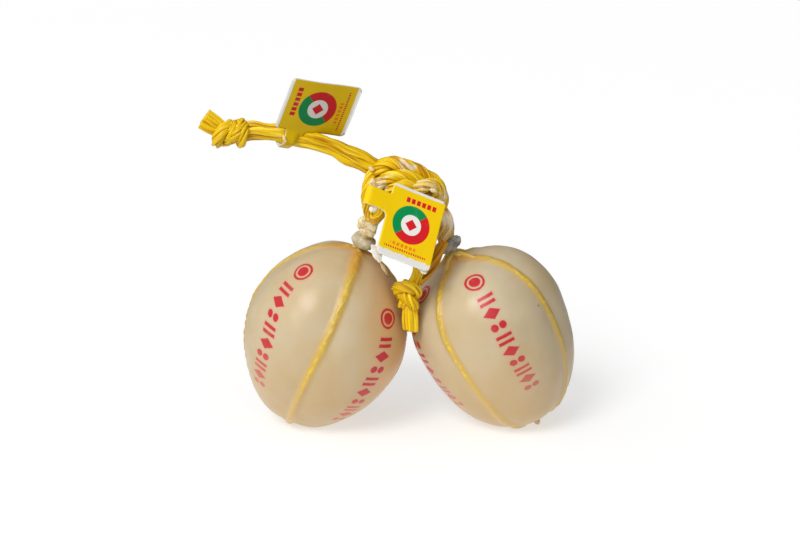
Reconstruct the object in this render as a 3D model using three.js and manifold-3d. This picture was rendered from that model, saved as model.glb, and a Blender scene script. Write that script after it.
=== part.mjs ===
// A pair of small provolone cheeses in wax, tied with yellow twine and joined at their necks by one big knot.
// Millimetres, +Z up. The cheeses lean together and stand on two small flat spots at z = 0; the front is -Y.
// Origin: on the standing plane, under the middle of the pair without its two loose rope tails.
import * as THREE from "three";
import { mergeVertices } from "three/addons/utils/BufferGeometryUtils.js";
import Module from "manifold-3d";

// ---- Driving dimensions ----

const GAP = 0.3; // clearance between two pieces that touch
const CONTACT_X = 0.5; // where the two cheeses press on each other

// Each cheese: an egg-like body whose four lobes swell between four strands of twine.
// middle: centre of the widest level; above, below: half lengths from there to the neck and to the base.
// fullness: exponent of the profile, 2 is an ellipse; strandsDeg: angle of each strand round the axis, with
// swaysDeg, how far it strays from that angle on its way; rises: how far the lobe after each strand swells;
// topHeavy: how much more it swells near the neck; clipHeight: from the neck to the middle of the clip.
const CHEESES = {
  left: {
    middle: [-37.1, 0, 44.5],
    leanDeg: 21.5,
    nodDeg: -3,
    above: 41,
    below: 47.8,
    radius: 35.8,
    fullness: 1.8,
    strandsDeg: [-94, 5, 81, 176],
    swaysDeg: [2, 3, 3, -5],
    rises: [2.4, 3.4, 3.4, 2.3],
    topHeavy: [-0.2, -0.4, 0.1, 0],
    nub: 0,
    clipHeight: 5.5,
  },
  right: {
    middle: [35.4, 0, 48],
    leanDeg: -25.7,
    nodDeg: 0,
    above: 32.2,
    below: 51.3,
    radius: 33.2,
    fullness: 2.2,
    strandsDeg: [-119, -31, 58, 151],
    swaysDeg: [-3, -1, 4, -3],
    rises: [2.8, 2.85, 2.4, 0.8],
    topHeavy: [0, -0.1, 0, 0],
    nub: 2.7,
    clipHeight: 9,
  },
};
const BODY_ROUND = 24; // facets round a cheese
const BODY_RINGS = 13; // facets from neck to base
const CUT_SPAN = 400; // larger than the pair, for cutting it with flat faces
const BASE_DIMPLE = 2; // depth of the hollow where the strands cross under a cheese
const DIMPLE_WIDTH = 7;
const NUB_RADIUS = 1.7; // the drip of wax left at the base of one cheese
const NUB_OFFSET = 9.6; // from the axis
const NUB_AROUND_DEG = -81;

const TWINE_RADIUS = 1.3;
const TWINE_SIDES = 6;
const TWINE_STEPS = 9;
const TWINE_SINK = 0.2; // how far a strand's middle lies under the wax
const STRAND_POINTS = 12; // points of a strand's route on the cheese
const STRAND_LEAVES_DEG = 21; // angle from the axis where a strand leaves the cheese for the clip
const GATHER_RADIUS = 2.3; // the four strands drawn together under the clip
const GATHER_LENGTH = 3.2;

const CLIP_HOLE = 2.7;
const CLIP_RADIUS = 5.6;
const CLIP_HEIGHT = 4.6;
const CLIP_CLEAR = 1; // room round the clip for the rope's strands
// Half of the clip's section outside its hole, from the bottom up: shares of its radius and of its height.
const CLIP_SECTION = [[0.78, -0.5], [0.95, -0.3], [1, 0], [0.93, 0.28], [0.74, 0.5]];

// The strands of the rope and the big knot, by their middles, from the front left over the top to the right.
const ROPE_SIDES = 5;
const KNOT_CORE = { at: [-1, -1, 110], radii: [16, 9, 11] };
const KNOT_STRANDS = [
  { // the long strand over the top, which turns down behind the right side
    radius: 3.3,
    steps: 9,
    route: [[-13, 4, 113], [-14.5, -5, 120], [-8.3, -6, 123.2], [0.5, -6, 121.5], [7.1, -5, 117.5],
      [13.2, -4, 114], [15.2, -2, 108.5], [14.8, 1, 102.5]],
  },
  { // the second strand, in front of the first
    radius: 2.9,
    steps: 6,
    route: [[-15, -7, 108], [-14.4, -10, 114], [-10, -11, 118.5], [-3.9, -10.5, 119.8], [2.7, -9, 117.8],
      [8.4, -6, 113]],
  },
  { // the third strand, lowest of the three that sweep up from the left
    radius: 2.7,
    steps: 6,
    route: [[-11, -8, 105], [-9.8, -11.5, 111], [-6, -12.5, 115], [-1, -12, 116.3], [5, -9.5, 113.5]],
  },
  { // the pale waxed strand that crosses them to the right lobe
    radius: 2.8,
    steps: 7,
    route: [[-3, -9.5, 108.5], [2.5, -12, 113.5], [8.5, -10.5, 115.5], [14, -7.5, 113], [16.8, -3, 106.5],
      [15, 2, 100]],
  },
  { // the strand that stands down the left side
    radius: 2.4,
    steps: 6,
    route: [[-17, -7.5, 99], [-18.3, -8.5, 105], [-18.6, -8.5, 112], [-16.8, -6, 118.5], [-11, -1, 121]],
  },
  { // the small loop at the lower left
    radius: 2.2,
    steps: 6,
    route: [[-18, -7, 101.5], [-15.4, -10, 99.6], [-12.3, -11, 102.5], [-12.5, -9.5, 107]],
  },
  { // the turn round the back
    radius: 3.2,
    steps: 7,
    route: [[-14, 2, 103], [-11, 8, 111], [-2, 10, 116.5], [8, 8.5, 114], [13.5, 4, 105]],
  },
];

// Rope from each clip up into the knot: three strands laid round each other.
const NECKS = {
  left: { strandRadius: 2.5, lay: 2.1, turns: 0.4, route: [[-16.6, -5, 97], [-15, -6, 103]] },
  right: { strandRadius: 2.6, lay: 2.3, turns: 0.5, route: [[18, 0, 95], [15.5, 0, 104]] },
};
const NECK_STRANDS = 3;

// The two loose tails. Each has bundles of flat ribbons that lie side by side, an overhand knot and a cut end.
const TAILS = {
  upper: {
    bundles: [
      {
        route: [[-11.5, -1, 119.5], [-16.3, -2, 121.9], [-20.7, -2.3, 124.1], [-28.2, -2.8, 128],
          [-35.6, -3, 131.6], [-42.7, -3, 133.6], [-47.9, -3, 134.9], [-53.2, -2.8, 136.5], [-58.5, -2.5, 137.7],
          [-68, -2.2, 138]],
        ribbons: 3,
        ribbonRadius: 2,
        spread: 2.1,
        spreadAlong: [0.3, 0, 1],
        steps: 8,
      },
    ],
    knot: { at: [-76.5, -2, 137], length: 17.5, girth: 13, alongDeg: 176, tiltDeg: 24 },
    end: { from: [-83.6, -2, 138.5], to: [-90.5, -2, 143.7], fromWidth: 6, toWidth: 8.8, thickness: 4 },
  },
  front: {
    bundles: [
      { // from the knot, behind the tag
        route: [[10.3, -8.5, 98], [9.5, -11.5, 91.9], [6.7, -15, 86.1], [4.5, -17.5, 80], [2.2, -18, 72]],
        ribbons: 2,
        ribbonRadius: 1.6,
        spread: 2,
        spreadAlong: [1, 0, 0.3],
        steps: 6,
      },
      { // from beside the right clip
        route: [[16.8, -9.5, 87.5], [13.9, -12.5, 80.8], [10.3, -15.5, 77], [5, -18, 72.5]],
        ribbons: 1,
        ribbonRadius: 1.9,
        spread: 0,
        spreadAlong: [1, 0, 0],
        steps: 5,
      },
    ],
    knot: { at: [-0.4, -18, 68.6], length: 15.5, girth: 13, alongDeg: 258, tiltDeg: -24 },
    end: { from: [0.3, -18.8, 60.3], to: [0.5, -19.6, 50.6], fromWidth: 5.6, toWidth: 7.4, thickness: 4 },
  },
};
const KNOT_TURNS = 3; // turns of rope seen round an overhand knot
const TURN_SHARE = 0.217; // radius of the rope in a turn, as a share of the knot's girth
const TURN_PACKING = 2.6; // how far the end turns lie inside the knot's length, in their own radii
const HEART_INSET = 1.2; // how far the knot's heart lies under the tops of its turns

// Tags: a card with an arm at its left side that hooks round the rope.
const TAG_WIDTH = 25.5;
const TAG_HEIGHT = 33.5;
const TAG_THICKNESS = 0.8;
const TAG_CORNER = 2;
const TAG_ARM_LENGTH = 8; // the flat of the arm, before it bends back behind the rope
const TAG_ARM_RETURN = 4;
const TAG_ARM_BEND_DEG = 60;
const TAG_ARM_TOP = 5.5; // below the card's top edge
const TAG_ARM_BOTTOM = 14;
const TAG_ARM_FILLET = 3;
// topLeft: the card's corner; across, down: directions of its top edge and its left edge.
const TAGS = {
  front: { topLeft: [-7.4, -17.6, 118.3], across: [0.903, 0.206, -0.377], down: [-0.196, -0.586, -0.786] },
  upper: { topLeft: [-58.1, -8.2, 139.9], across: [0.314, -0.05, 0.948], down: [0.887, 0.37, -0.274] },
};

const LOOKS = {
  wax: { color: 0xd6c4a0, roughness: 0.35, metalness: 0 },
  twine: { color: 0xe6c850, roughness: 0.45, metalness: 0 },
  rope: { color: 0xebc314, roughness: 0.4, metalness: 0 },
  waxedRope: { color: 0xe1d2b4, roughness: 0.5, metalness: 0 },
  clip: { color: 0xa5a596, roughness: 0.5, metalness: 0.3 },
  card: { color: 0xeed400, roughness: 0.35, metalness: 0 },
};

// ---- Solids: closed meshes that can be joined and cut ----

const wasm = await Module();
wasm.setup();

function solidOf(geometry) {
  geometry.deleteAttribute("normal");
  geometry.deleteAttribute("uv");
  const merged = mergeVertices(geometry, 1e-3);
  return new wasm.Manifold(
    new wasm.Mesh({
      numProp: 3,
      vertProperties: merged.attributes.position.array,
      triVerts: new Uint32Array(merged.index.array),
    }),
  );
}

function geometryOf(solid) {
  const mesh = solid.getMesh();
  const geometry = new THREE.BufferGeometry();
  geometry.setAttribute("position", new THREE.BufferAttribute(new Float32Array(mesh.vertProperties), 3));
  geometry.setIndex(new THREE.BufferAttribute(new Uint32Array(mesh.triVerts), 1));
  geometry.computeVertexNormals();
  return geometry;
}

function join(solids) {
  return solids.reduce((all, solid) => all.add(solid));
}

// The main body of a solid, without any crumb that a cut left loose.
function mainBody(solid) {
  return solid.decompose().reduce((most, body) => (body.volume() > most.volume() ? body : most));
}

function piece(name, solid, look) {
  const mesh = new THREE.Mesh(geometryOf(mainBody(solid)), new THREE.MeshStandardMaterial(look));
  mesh.name = name;
  return mesh;
}

function vector([x, y, z]) {
  return new THREE.Vector3(x, y, z);
}

// A round section swept along a smooth route.
function sweep(points, radius, sides, steps) {
  const section = new THREE.Shape();
  for (let i = 0; i < sides; i++) {
    const angle = (i / sides) * 2 * Math.PI;
    const method = i === 0 ? "moveTo" : "lineTo";
    section[method](radius * Math.cos(angle), radius * Math.sin(angle));
  }
  const extrudePath = new THREE.CatmullRomCurve3(points, false, "centripetal");
  return solidOf(new THREE.ExtrudeGeometry(section, { steps, extrudePath, bevelEnabled: false }));
}

function ellipsoid(at, radii, around, rings) {
  const geometry = new THREE.SphereGeometry(1, around, rings);
  geometry.scale(...radii);
  geometry.translate(...at);
  return solidOf(geometry);
}

// ---- A cheese, in its own frame: origin at its widest level, +Z along its axis to the neck ----

const radians = THREE.MathUtils.degToRad;

// The angles of the strands round the axis, at an angle from the neck.
function strandsAt(cheese, fromNeck) {
  return cheese.strandsDeg.map((deg, i) => radians(deg + cheese.swaysDeg[i] * Math.sin(2 * fromNeck)));
}

// Where an angle round the axis lies between the strands: the lobe's number, and 0 to 1 across it.
function lobeAt(cheese, fromNeck, around) {
  const strands = strandsAt(cheese, fromNeck);
  for (let i = 0; i < strands.length; i++) {
    const next = strands[(i + 1) % strands.length];
    const width = THREE.MathUtils.euclideanModulo(next - strands[i], 2 * Math.PI);
    const into = THREE.MathUtils.euclideanModulo(around - strands[i], 2 * Math.PI);
    if (into < width) return { number: i, across: into / width };
  }
  return { number: 0, across: 0 };
}

// Distance from the middle of the cheese to its surface, by angle from the neck and angle round the axis.
function reach(cheese, fromNeck, around) {
  const c = Math.cos(fromNeck);
  const s = Math.sin(fromNeck);
  const half = c > 0 ? cheese.above : cheese.below;
  const n = cheese.fullness;
  const smooth = (Math.abs(c / half) ** n + Math.abs(s / cheese.radius) ** n) ** (-1 / n);
  const lobe = lobeAt(cheese, fromNeck, around);
  const swell = cheese.rises[lobe.number] * (1 + cheese.topHeavy[lobe.number] * c);
  const fromBase = (cheese.radius * s) / DIMPLE_WIDTH;
  const dimple = c < 0 ? BASE_DIMPLE * Math.exp(-fromBase * fromBase) : 0;
  return smooth + swell * s * Math.sin(Math.PI * lobe.across) - dimple;
}

function surfacePoint(cheese, fromNeck, around, out = 0) {
  const r = reach(cheese, fromNeck, around) + out;
  const level = r * Math.sin(fromNeck);
  return new THREE.Vector3(level * Math.cos(around), level * Math.sin(around), r * Math.cos(fromNeck));
}

function cheeseFrame(cheese) {
  const lean = radians(cheese.leanDeg);
  const nod = radians(cheese.nodDeg);
  const axis = new THREE.Vector3(Math.sin(lean) * Math.cos(nod), Math.sin(nod), Math.cos(lean) * Math.cos(nod));
  const side = new THREE.Vector3(Math.cos(lean), 0, -Math.sin(lean));
  const back = new THREE.Vector3().crossVectors(axis, side);
  return new THREE.Matrix4().makeBasis(side, back, axis).setPosition(vector(cheese.middle));
}

// What is kept of a cheese: the space above the table and on its own side of the contact with its neighbour.
function roomFor(cheese) {
  const box = new THREE.BoxGeometry(CUT_SPAN, CUT_SPAN, CUT_SPAN);
  const side = Math.sign(cheese.middle[0]);
  box.translate(CONTACT_X + side * (CUT_SPAN / 2 + GAP / 2), 0, CUT_SPAN / 2);
  box.applyMatrix4(cheeseFrame(cheese).invert());
  return solidOf(box);
}

// A strand's route from the crossing under the base up to the gathering under the clip.
function strandRoute(cheese, number) {
  const leaves = radians(STRAND_LEAVES_DEG);
  const points = [];
  for (let i = 0; i < STRAND_POINTS; i++) {
    const fromNeck = THREE.MathUtils.mapLinear(i, 0, STRAND_POINTS - 1, Math.PI, leaves);
    points.push(surfacePoint(cheese, fromNeck, strandsAt(cheese, fromNeck)[number], -TWINE_SINK));
  }
  const around = strandsAt(cheese, leaves)[number];
  const top = cheese.above + cheese.clipHeight - CLIP_HEIGHT / 2 - GATHER_LENGTH;
  const inward = GATHER_RADIUS - TWINE_RADIUS;
  points.push(new THREE.Vector3(inward * Math.cos(around), inward * Math.sin(around), top + TWINE_RADIUS));
  return points;
}

function harness(cheese, extra) {
  const strands = cheese.strandsDeg.map((_, number) =>
    sweep(strandRoute(cheese, number), TWINE_RADIUS + extra, TWINE_SIDES, TWINE_STEPS),
  );
  const gather = new THREE.CylinderGeometry(GATHER_RADIUS + extra, GATHER_RADIUS + extra, GATHER_LENGTH, 8);
  gather.rotateX(Math.PI / 2);
  gather.translate(0, 0, cheese.above + cheese.clipHeight - CLIP_HEIGHT / 2 - GATHER_LENGTH / 2 - GAP);
  return join([...strands, solidOf(gather)]);
}

function cheeseBody(cheese) {
  const geometry = new THREE.SphereGeometry(1, BODY_ROUND, BODY_RINGS);
  geometry.rotateX(Math.PI / 2);
  const position = geometry.attributes.position;
  for (let i = 0; i < position.count; i++) {
    const at = new THREE.Vector3().fromBufferAttribute(position, i);
    const fromNeck = Math.acos(THREE.MathUtils.clamp(at.z, -1, 1));
    const around = Math.atan2(at.y, at.x);
    const p = surfacePoint(cheese, fromNeck, around);
    position.setXYZ(i, p.x, p.y, p.z);
  }
  let body = solidOf(geometry);
  if (cheese.nub > 0) {
    const tip = cheese.below - BASE_DIMPLE + cheese.nub;
    const at = new THREE.Vector3(NUB_OFFSET, 0, -(tip - 2 * NUB_RADIUS));
    at.applyAxisAngle(new THREE.Vector3(0, 0, 1), radians(NUB_AROUND_DEG));
    body = body.add(ellipsoid(at.toArray(), [NUB_RADIUS, NUB_RADIUS, 2 * NUB_RADIUS], 7, 6));
  }
  return body.subtract(harness(cheese, GAP)).intersect(roomFor(cheese));
}

function clipRing() {
  const bottom = [CLIP_HOLE / CLIP_RADIUS, -0.5];
  const top = [CLIP_HOLE / CLIP_RADIUS, 0.5];
  const profile = [bottom, ...CLIP_SECTION, top, bottom];
  const points = profile.map(([r, h]) => new THREE.Vector2(r * CLIP_RADIUS, h * CLIP_HEIGHT));
  const geometry = new THREE.LatheGeometry(points, 10);
  geometry.rotateX(Math.PI / 2);
  return solidOf(geometry);
}

function tiedCheese(side) {
  const cheese = CHEESES[side];
  const group = new THREE.Group();
  group.applyMatrix4(cheeseFrame(cheese));
  const clip = piece("clip_" + side, clipRing(), LOOKS.clip);
  clip.position.z = cheese.above + cheese.clipHeight;
  group.add(
    piece("cheese_" + side, cheeseBody(cheese), LOOKS.wax),
    piece("twine_" + side, harness(cheese, 0).intersect(roomFor(cheese)), LOOKS.twine),
    clip,
  );
  return group;
}

// ---- The rope: knot, necks and tails, in the frame of the whole pair ----

function mainKnot(extra) {
  const strands = KNOT_STRANDS.map(({ route, radius, steps }) =>
    sweep(route.map(vector), radius + extra, ROPE_SIDES, steps),
  );
  const radii = KNOT_CORE.radii.map((r) => r + extra);
  return join([ellipsoid(KNOT_CORE.at, radii, 10, 5), ...strands]);
}

// Points of one strand laid round a route at a distance, making some turns on the way.
function laidRoute(points, distance, turns, start) {
  const curve = new THREE.CatmullRomCurve3(points, false, "centripetal");
  const steps = 4;
  const laid = [];
  for (let i = 0; i <= steps; i++) {
    const t = i / steps;
    const along = curve.getTangentAt(t);
    const across = new THREE.Vector3(0, 1, 0).cross(along).normalize();
    across.applyAxisAngle(along, start + turns * 2 * Math.PI * t);
    laid.push(curve.getPointAt(t).addScaledVector(across, distance));
  }
  return laid;
}

function neckRope(side, extra) {
  const cheese = CHEESES[side];
  const neck = NECKS[side];
  const frame = cheeseFrame(cheese);
  const clipMiddle = cheese.above + cheese.clipHeight;
  const onAxis = (height) => new THREE.Vector3(0, 0, clipMiddle + height).applyMatrix4(frame);
  const inClip = [onAxis(-CLIP_HEIGHT / 2), onAxis(CLIP_HEIGHT / 2), onAxis(CLIP_HEIGHT)];
  const core = sweep(inClip, CLIP_HOLE - GAP + extra, 8, 2);
  const roomRadius = CLIP_RADIUS + CLIP_CLEAR;
  const clipRoom = new THREE.CylinderGeometry(roomRadius, roomRadius, CLIP_HEIGHT + 2 * GAP, 10);
  clipRoom.rotateX(Math.PI / 2);
  clipRoom.translate(0, 0, clipMiddle);
  clipRoom.applyMatrix4(frame);
  const fanRoute = [onAxis(CLIP_HEIGHT / 2 + GAP + neck.strandRadius), ...neck.route.map(vector)];
  const strands = [];
  for (let i = 0; i < NECK_STRANDS; i++) {
    const route = laidRoute(fanRoute, neck.lay, neck.turns, (i / NECK_STRANDS) * 2 * Math.PI);
    strands.push(sweep(route, neck.strandRadius + extra, ROPE_SIDES, 3));
  }
  return join(strands).subtract(solidOf(clipRoom)).add(core);
}

function ribbons({ bundles }, extra) {
  const made = [];
  for (const bundle of bundles) {
    const spread = vector(bundle.spreadAlong).normalize();
    const middle = (bundle.ribbons - 1) / 2;
    for (let i = 0; i < bundle.ribbons; i++) {
      const shift = spread.clone().multiplyScalar((i - middle) * bundle.spread);
      const route = bundle.route.map((p) => vector(p).add(shift));
      made.push(sweep(route, bundle.ribbonRadius + extra, ROPE_SIDES, bundle.steps));
    }
  }
  return join(made);
}

// An overhand knot pulled tight: slanting turns of rope round a plump core.
function overhandKnot({ at, length, girth, alongDeg, tiltDeg }, extra) {
  const turnRadius = girth * TURN_SHARE;
  const ringRadius = girth / 2 - turnRadius;
  const heartRadius = girth / 2 - HEART_INSET + extra;
  const heart = ellipsoid([0, 0, 0], [length / 2 - HEART_INSET + extra, heartRadius, heartRadius], 8, 6);
  const solids = [heart];
  for (let i = 0; i < KNOT_TURNS; i++) {
    const turn = new THREE.TorusGeometry(ringRadius, turnRadius + extra, 5, 7);
    turn.rotateY(Math.PI / 2);
    turn.rotateZ(radians(tiltDeg));
    turn.translate((i / (KNOT_TURNS - 1) - 0.5) * (length - TURN_PACKING * turnRadius), 0, 0);
    solids.push(solidOf(turn));
  }
  const geometry = geometryOf(join(solids));
  geometry.applyMatrix4(new THREE.Matrix4().makeRotationY(-radians(alongDeg)).setPosition(vector(at)));
  return solidOf(geometry);
}

// The cut end of a tail: a flat bundle that widens to the cut.
function cutEnd({ from, to, fromWidth, toWidth, thickness }) {
  const start = vector(from);
  const along = vector(to).sub(start);
  const length = along.length();
  const geometry = new THREE.CylinderGeometry(toWidth / 2, fromWidth / 2, length, 12);
  geometry.scale(1, 1, thickness / fromWidth);
  geometry.translate(0, length / 2, 0);
  const up = along.normalize();
  const depth = new THREE.Vector3(0, 1, 0);
  const wide = new THREE.Vector3().crossVectors(up, depth).normalize();
  const thin = new THREE.Vector3().crossVectors(wide, up);
  geometry.applyMatrix4(new THREE.Matrix4().makeBasis(wide, up, thin).setPosition(start));
  return solidOf(geometry);
}

function looseTail(side, others) {
  const tail = TAILS[side];
  const knot = overhandKnot(tail.knot, 0);
  const grownKnot = overhandKnot(tail.knot, GAP);
  const bundle = ribbons(tail, 0).subtract(grownKnot).subtract(others);
  return [
    piece("tail_" + side, bundle, LOOKS.rope),
    piece("tail_" + side + "_knot", knot, LOOKS.rope),
    piece("tail_" + side + "_end", cutEnd(tail.end).subtract(grownKnot), LOOKS.rope),
  ];
}

// ---- The tags ----

function tagOutline() {
  const outline = new THREE.Shape();
  const r = TAG_CORNER;
  const f = TAG_ARM_FILLET;
  outline.moveTo(0, -r);
  outline.lineTo(0, -TAG_ARM_TOP);
  outline.lineTo(-TAG_ARM_LENGTH, -TAG_ARM_TOP);
  outline.lineTo(-TAG_ARM_LENGTH, -TAG_ARM_BOTTOM);
  outline.lineTo(-f, -TAG_ARM_BOTTOM);
  outline.absarc(-f, -TAG_ARM_BOTTOM - f, f, Math.PI / 2, 0, true);
  outline.lineTo(0, -TAG_HEIGHT + r);
  outline.absarc(r, -TAG_HEIGHT + r, r, Math.PI, 1.5 * Math.PI, false);
  outline.absarc(TAG_WIDTH - r, -TAG_HEIGHT + r, r, 1.5 * Math.PI, 2 * Math.PI, false);
  outline.absarc(TAG_WIDTH - r, -r, r, 0, Math.PI / 2, false);
  outline.absarc(r, -r, r, Math.PI / 2, Math.PI, false);
  return outline;
}

function tagPlate({ topLeft, across, down }) {
  const plate = new THREE.ExtrudeGeometry(tagOutline(), {
    depth: TAG_THICKNESS,
    curveSegments: 3,
    bevelEnabled: false,
  });
  const armHeight = TAG_ARM_BOTTOM - TAG_ARM_TOP;
  const bentArm = new THREE.BoxGeometry(TAG_ARM_RETURN, armHeight, TAG_THICKNESS);
  bentArm.translate(-TAG_ARM_RETURN / 2, 0, TAG_THICKNESS / 2);
  bentArm.rotateY(-radians(TAG_ARM_BEND_DEG));
  bentArm.translate(-TAG_ARM_LENGTH + TAG_THICKNESS / 2, -TAG_ARM_TOP - armHeight / 2, 0);
  const right = vector(across).normalize();
  const faceOut = vector(down).cross(right).normalize();
  const up = new THREE.Vector3().crossVectors(faceOut, right);
  const place = new THREE.Matrix4().makeBasis(right, up, faceOut).setPosition(vector(topLeft));
  return solidOf(plate.applyMatrix4(place)).add(solidOf(bentArm.applyMatrix4(place)));
}

// ---- The pair ----

const pair = new THREE.Group();
pair.name = "provolone_pair";
pair.add(tiedCheese("left"), tiedCheese("right"));

const grownKnot = mainKnot(GAP);
pair.add(piece("main_knot", mainKnot(0), LOOKS.rope));
for (const side of ["left", "right"]) {
  pair.add(piece("neck_rope_" + side, neckRope(side, 0).subtract(grownKnot), LOOKS.waxedRope));
}

const grownNecks = join([neckRope("left", GAP), neckRope("right", GAP)]);
const grownRope = grownKnot.add(grownNecks);
pair.add(...looseTail("upper", grownRope), ...looseTail("front", grownRope));

const tagFront = tagPlate(TAGS.front).subtract(grownRope).subtract(ribbons(TAILS.front, GAP));
const tagUpper = tagPlate(TAGS.upper).subtract(ribbons(TAILS.upper, GAP));
pair.add(piece("tag_front", tagFront, LOOKS.card), piece("tag_upper", tagUpper, LOOKS.card));

export default pair;
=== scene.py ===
# %% [markdown]
# # A tied pair of provolone cheeses
# Two small provolone hang from one rope knot. Each cheese is pressed into four lobes by a harness of twine
# and dipped in wax, so nearly every surface here is either wax or split plastic twine. The frame that is
# loaded first holds the true sizes and places. Everything below gives it its finish.

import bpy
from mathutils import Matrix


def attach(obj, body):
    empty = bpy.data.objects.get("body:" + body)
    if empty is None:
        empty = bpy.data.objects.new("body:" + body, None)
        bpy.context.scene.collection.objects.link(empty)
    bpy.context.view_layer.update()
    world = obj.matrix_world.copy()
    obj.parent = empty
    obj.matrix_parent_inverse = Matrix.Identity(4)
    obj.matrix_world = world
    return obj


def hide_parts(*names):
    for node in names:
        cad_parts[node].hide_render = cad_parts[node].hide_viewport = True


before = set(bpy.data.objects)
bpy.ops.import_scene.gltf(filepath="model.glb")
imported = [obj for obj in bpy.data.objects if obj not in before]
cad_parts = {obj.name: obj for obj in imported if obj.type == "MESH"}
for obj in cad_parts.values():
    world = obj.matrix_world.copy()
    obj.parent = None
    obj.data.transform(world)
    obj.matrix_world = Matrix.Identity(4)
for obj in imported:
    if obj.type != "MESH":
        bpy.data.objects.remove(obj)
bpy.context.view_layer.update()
print("nodes:", len(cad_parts))

# %% Units and small helpers
import math
import random

import bmesh
import bpy
import numpy as np
from mathutils import Matrix, Vector, noise

MM = 0.001
DEEP = Vector((0, 1, 0))  # straight away from the front


def mm(x, y, z):
    return Vector((x, y, z)) * MM


def colour(red, green, blue):
    """A colour given as it looks on a screen, 0 to 255, made linear for the shader."""
    def linear(value):
        value /= 255
        return value / 12.92 if value <= 0.04045 else ((value + 0.055) / 1.055) ** 2.4
    return (linear(red), linear(green), linear(blue), 1.0)


def smoothstep(low, high, value):
    """0 up to low and 1 from high on, with a soft S between them."""
    t = min(max((value - low) / (high - low), 0.0), 1.0)
    return t * t * (3 - 2 * t)


def to_mesh(name, bm):
    """A mesh made of a bmesh, which is then done with."""
    mesh = bpy.data.meshes.new(name)
    bm.to_mesh(mesh)
    bm.free()
    return mesh


def new_object(name, data):
    """An object that shows the given data, linked to the scene."""
    thing = bpy.data.objects.new(name, data)
    bpy.context.collection.objects.link(thing)
    return thing


# %% [markdown]
# ## The camera
# A long lens a metre away keeps the egg shapes free of distortion. It looks down by 18 degrees, so the
# tops of the knots and the floor in front both show.

# %% Camera
CAMERA_ELEVATION = 18
CAMERA_LENS = 100
CAMERA_PLACE = (-0.0039, -0.95106, 0.38325)

lens = bpy.data.cameras.new("camera")
lens.lens = CAMERA_LENS
lens.sensor_width = 36
camera = new_object("camera", lens)
camera.location = CAMERA_PLACE
camera.rotation_euler = (math.radians(90 - CAMERA_ELEVATION), 0, 0)
bpy.context.scene.camera = camera
print("camera:", CAMERA_LENS, "mm lens, looking down by", CAMERA_ELEVATION, "degrees")

# %% [markdown]
# ## Node recipes
# Every finish is a small tree of shader nodes. A recipe adds a node, sets or links its inputs and gives
# its output back as a term. Terms can be added and multiplied like numbers, and each sum adds the node
# that works it out, so a finish reads like arithmetic instead of a list of links.

# %% Node helper


def sum_of(operation):
    """A method that adds the node for one operation."""
    return lambda term, other=0.0: term.recipe.math(operation, term, other)


class Term:
    """A value in a recipe."""
    __add__, __sub__, __mul__ = sum_of("ADD"), sum_of("SUBTRACT"), sum_of("MULTIPLY")
    __truediv__, __pow__, __abs__ = sum_of("DIVIDE"), sum_of("POWER"), sum_of("ABSOLUTE")

    def __init__(self, recipe, socket):
        self.recipe = recipe
        self.socket = socket


class Recipe:
    """The nodes of a material or a world, and short calls that add to them."""

    def __init__(self, owner, shader="Principled BSDF"):
        owner.use_nodes = True
        self.owner = owner
        self.tree = owner.node_tree
        self.shader = self.tree.nodes[shader]

    def set(self, socket, value):
        if isinstance(value, Term):
            self.tree.links.new(value.socket, socket)
        else:
            socket.default_value = value

    def add(self, kind, inputs=(), output=0, **settings):
        node = self.tree.nodes.new("ShaderNode" + kind)
        for setting, value in settings.items():
            setattr(node, setting, value)
        for which, value in dict(inputs).items():
            self.set(node.inputs[which], value)
        return Term(self, node.outputs[output])

    def math(self, operation, a, b=0.0):
        return self.add("Math", {0: a, 1: b}, operation=operation)

    def mix(self, factor, a, b):
        """Colour a where the factor is 0 and colour b where it is 1."""
        return self.add("Mix", {0: factor, 6: a, 7: b}, output=2, data_type="RGBA")

    def pick(self, factor, a, b):
        """Number a where the factor is 0 and number b where it is 1."""
        return self.add("Mix", {0: factor, 2: a, 3: b}, data_type="FLOAT")

    def place(self):
        """Where a point is on the object, in metres."""
        return self.add("TexCoord", output="Object")

    def axes(self, vector):
        """The X, Y and Z of a vector."""
        split = self.add("SeparateXYZ", {0: vector})
        return [Term(self, socket) for socket in split.socket.node.outputs]

    def attribute(self, name):
        return self.add("Attribute", output="Fac", attribute_name=name)

    def noise(self, where, scale, detail=3.0, roughness=0.5):
        inputs = {"Vector": where, "Scale": scale, "Detail": detail, "Roughness": roughness}
        return self.add("TexNoise", inputs)

    def span(self, value, low, high, out_low=0.0, out_high=1.0, curve="SMOOTHSTEP"):
        """The value's way from low to high, as a number from out_low to out_high."""
        inputs = {"Value": value, "From Min": low, "From Max": high, "To Min": out_low, "To Max": out_high}
        return self.add("MapRange", inputs, interpolation_type=curve)

    def bump(self, height, distance, strength, under=None):
        inputs = {"Height": height, "Distance": distance, "Strength": strength}
        if under is not None:
            inputs["Normal"] = under
        return self.add("Bump", inputs)

    def finish(self, **inputs):
        """Sets the shader's own inputs and gives the finished material or world."""
        for name, value in inputs.items():
            self.set(self.shader.inputs[name.replace("_", " ")], value)
        return self.owner


# %% [markdown]
# ## Studio
# A white sheet of paper and soft light. The world lights every side a little, a large soft box high on
# the left in front makes the shadows fall to the back and right.

# %% Studio
FLOOR_SIZE = 6.0
KEY_FROM = Vector((-0.38, -0.62, 0.72))
KEY_SOFTNESS = 27
KEY_POWER = 1.9
SKY_FROM = Vector((-0.55, -0.6, 0.5)).normalized()
SKY_FADE = (-0.35, 1.0)
SKY_LIGHT = (0.12, 1.0)
WHITE = (1, 1, 1, 1)
PAPER_GREY = (0.5, 0.5, 0.5, 1)
PAPER_LIFT = 0.54  # what the camera sees on top of the light that falls on the paper
PAPER_BOUNCE = 0.6  # what the paper near the cheeses gives back to them
PAPER_REACH = (0.08, 0.3)

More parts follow.
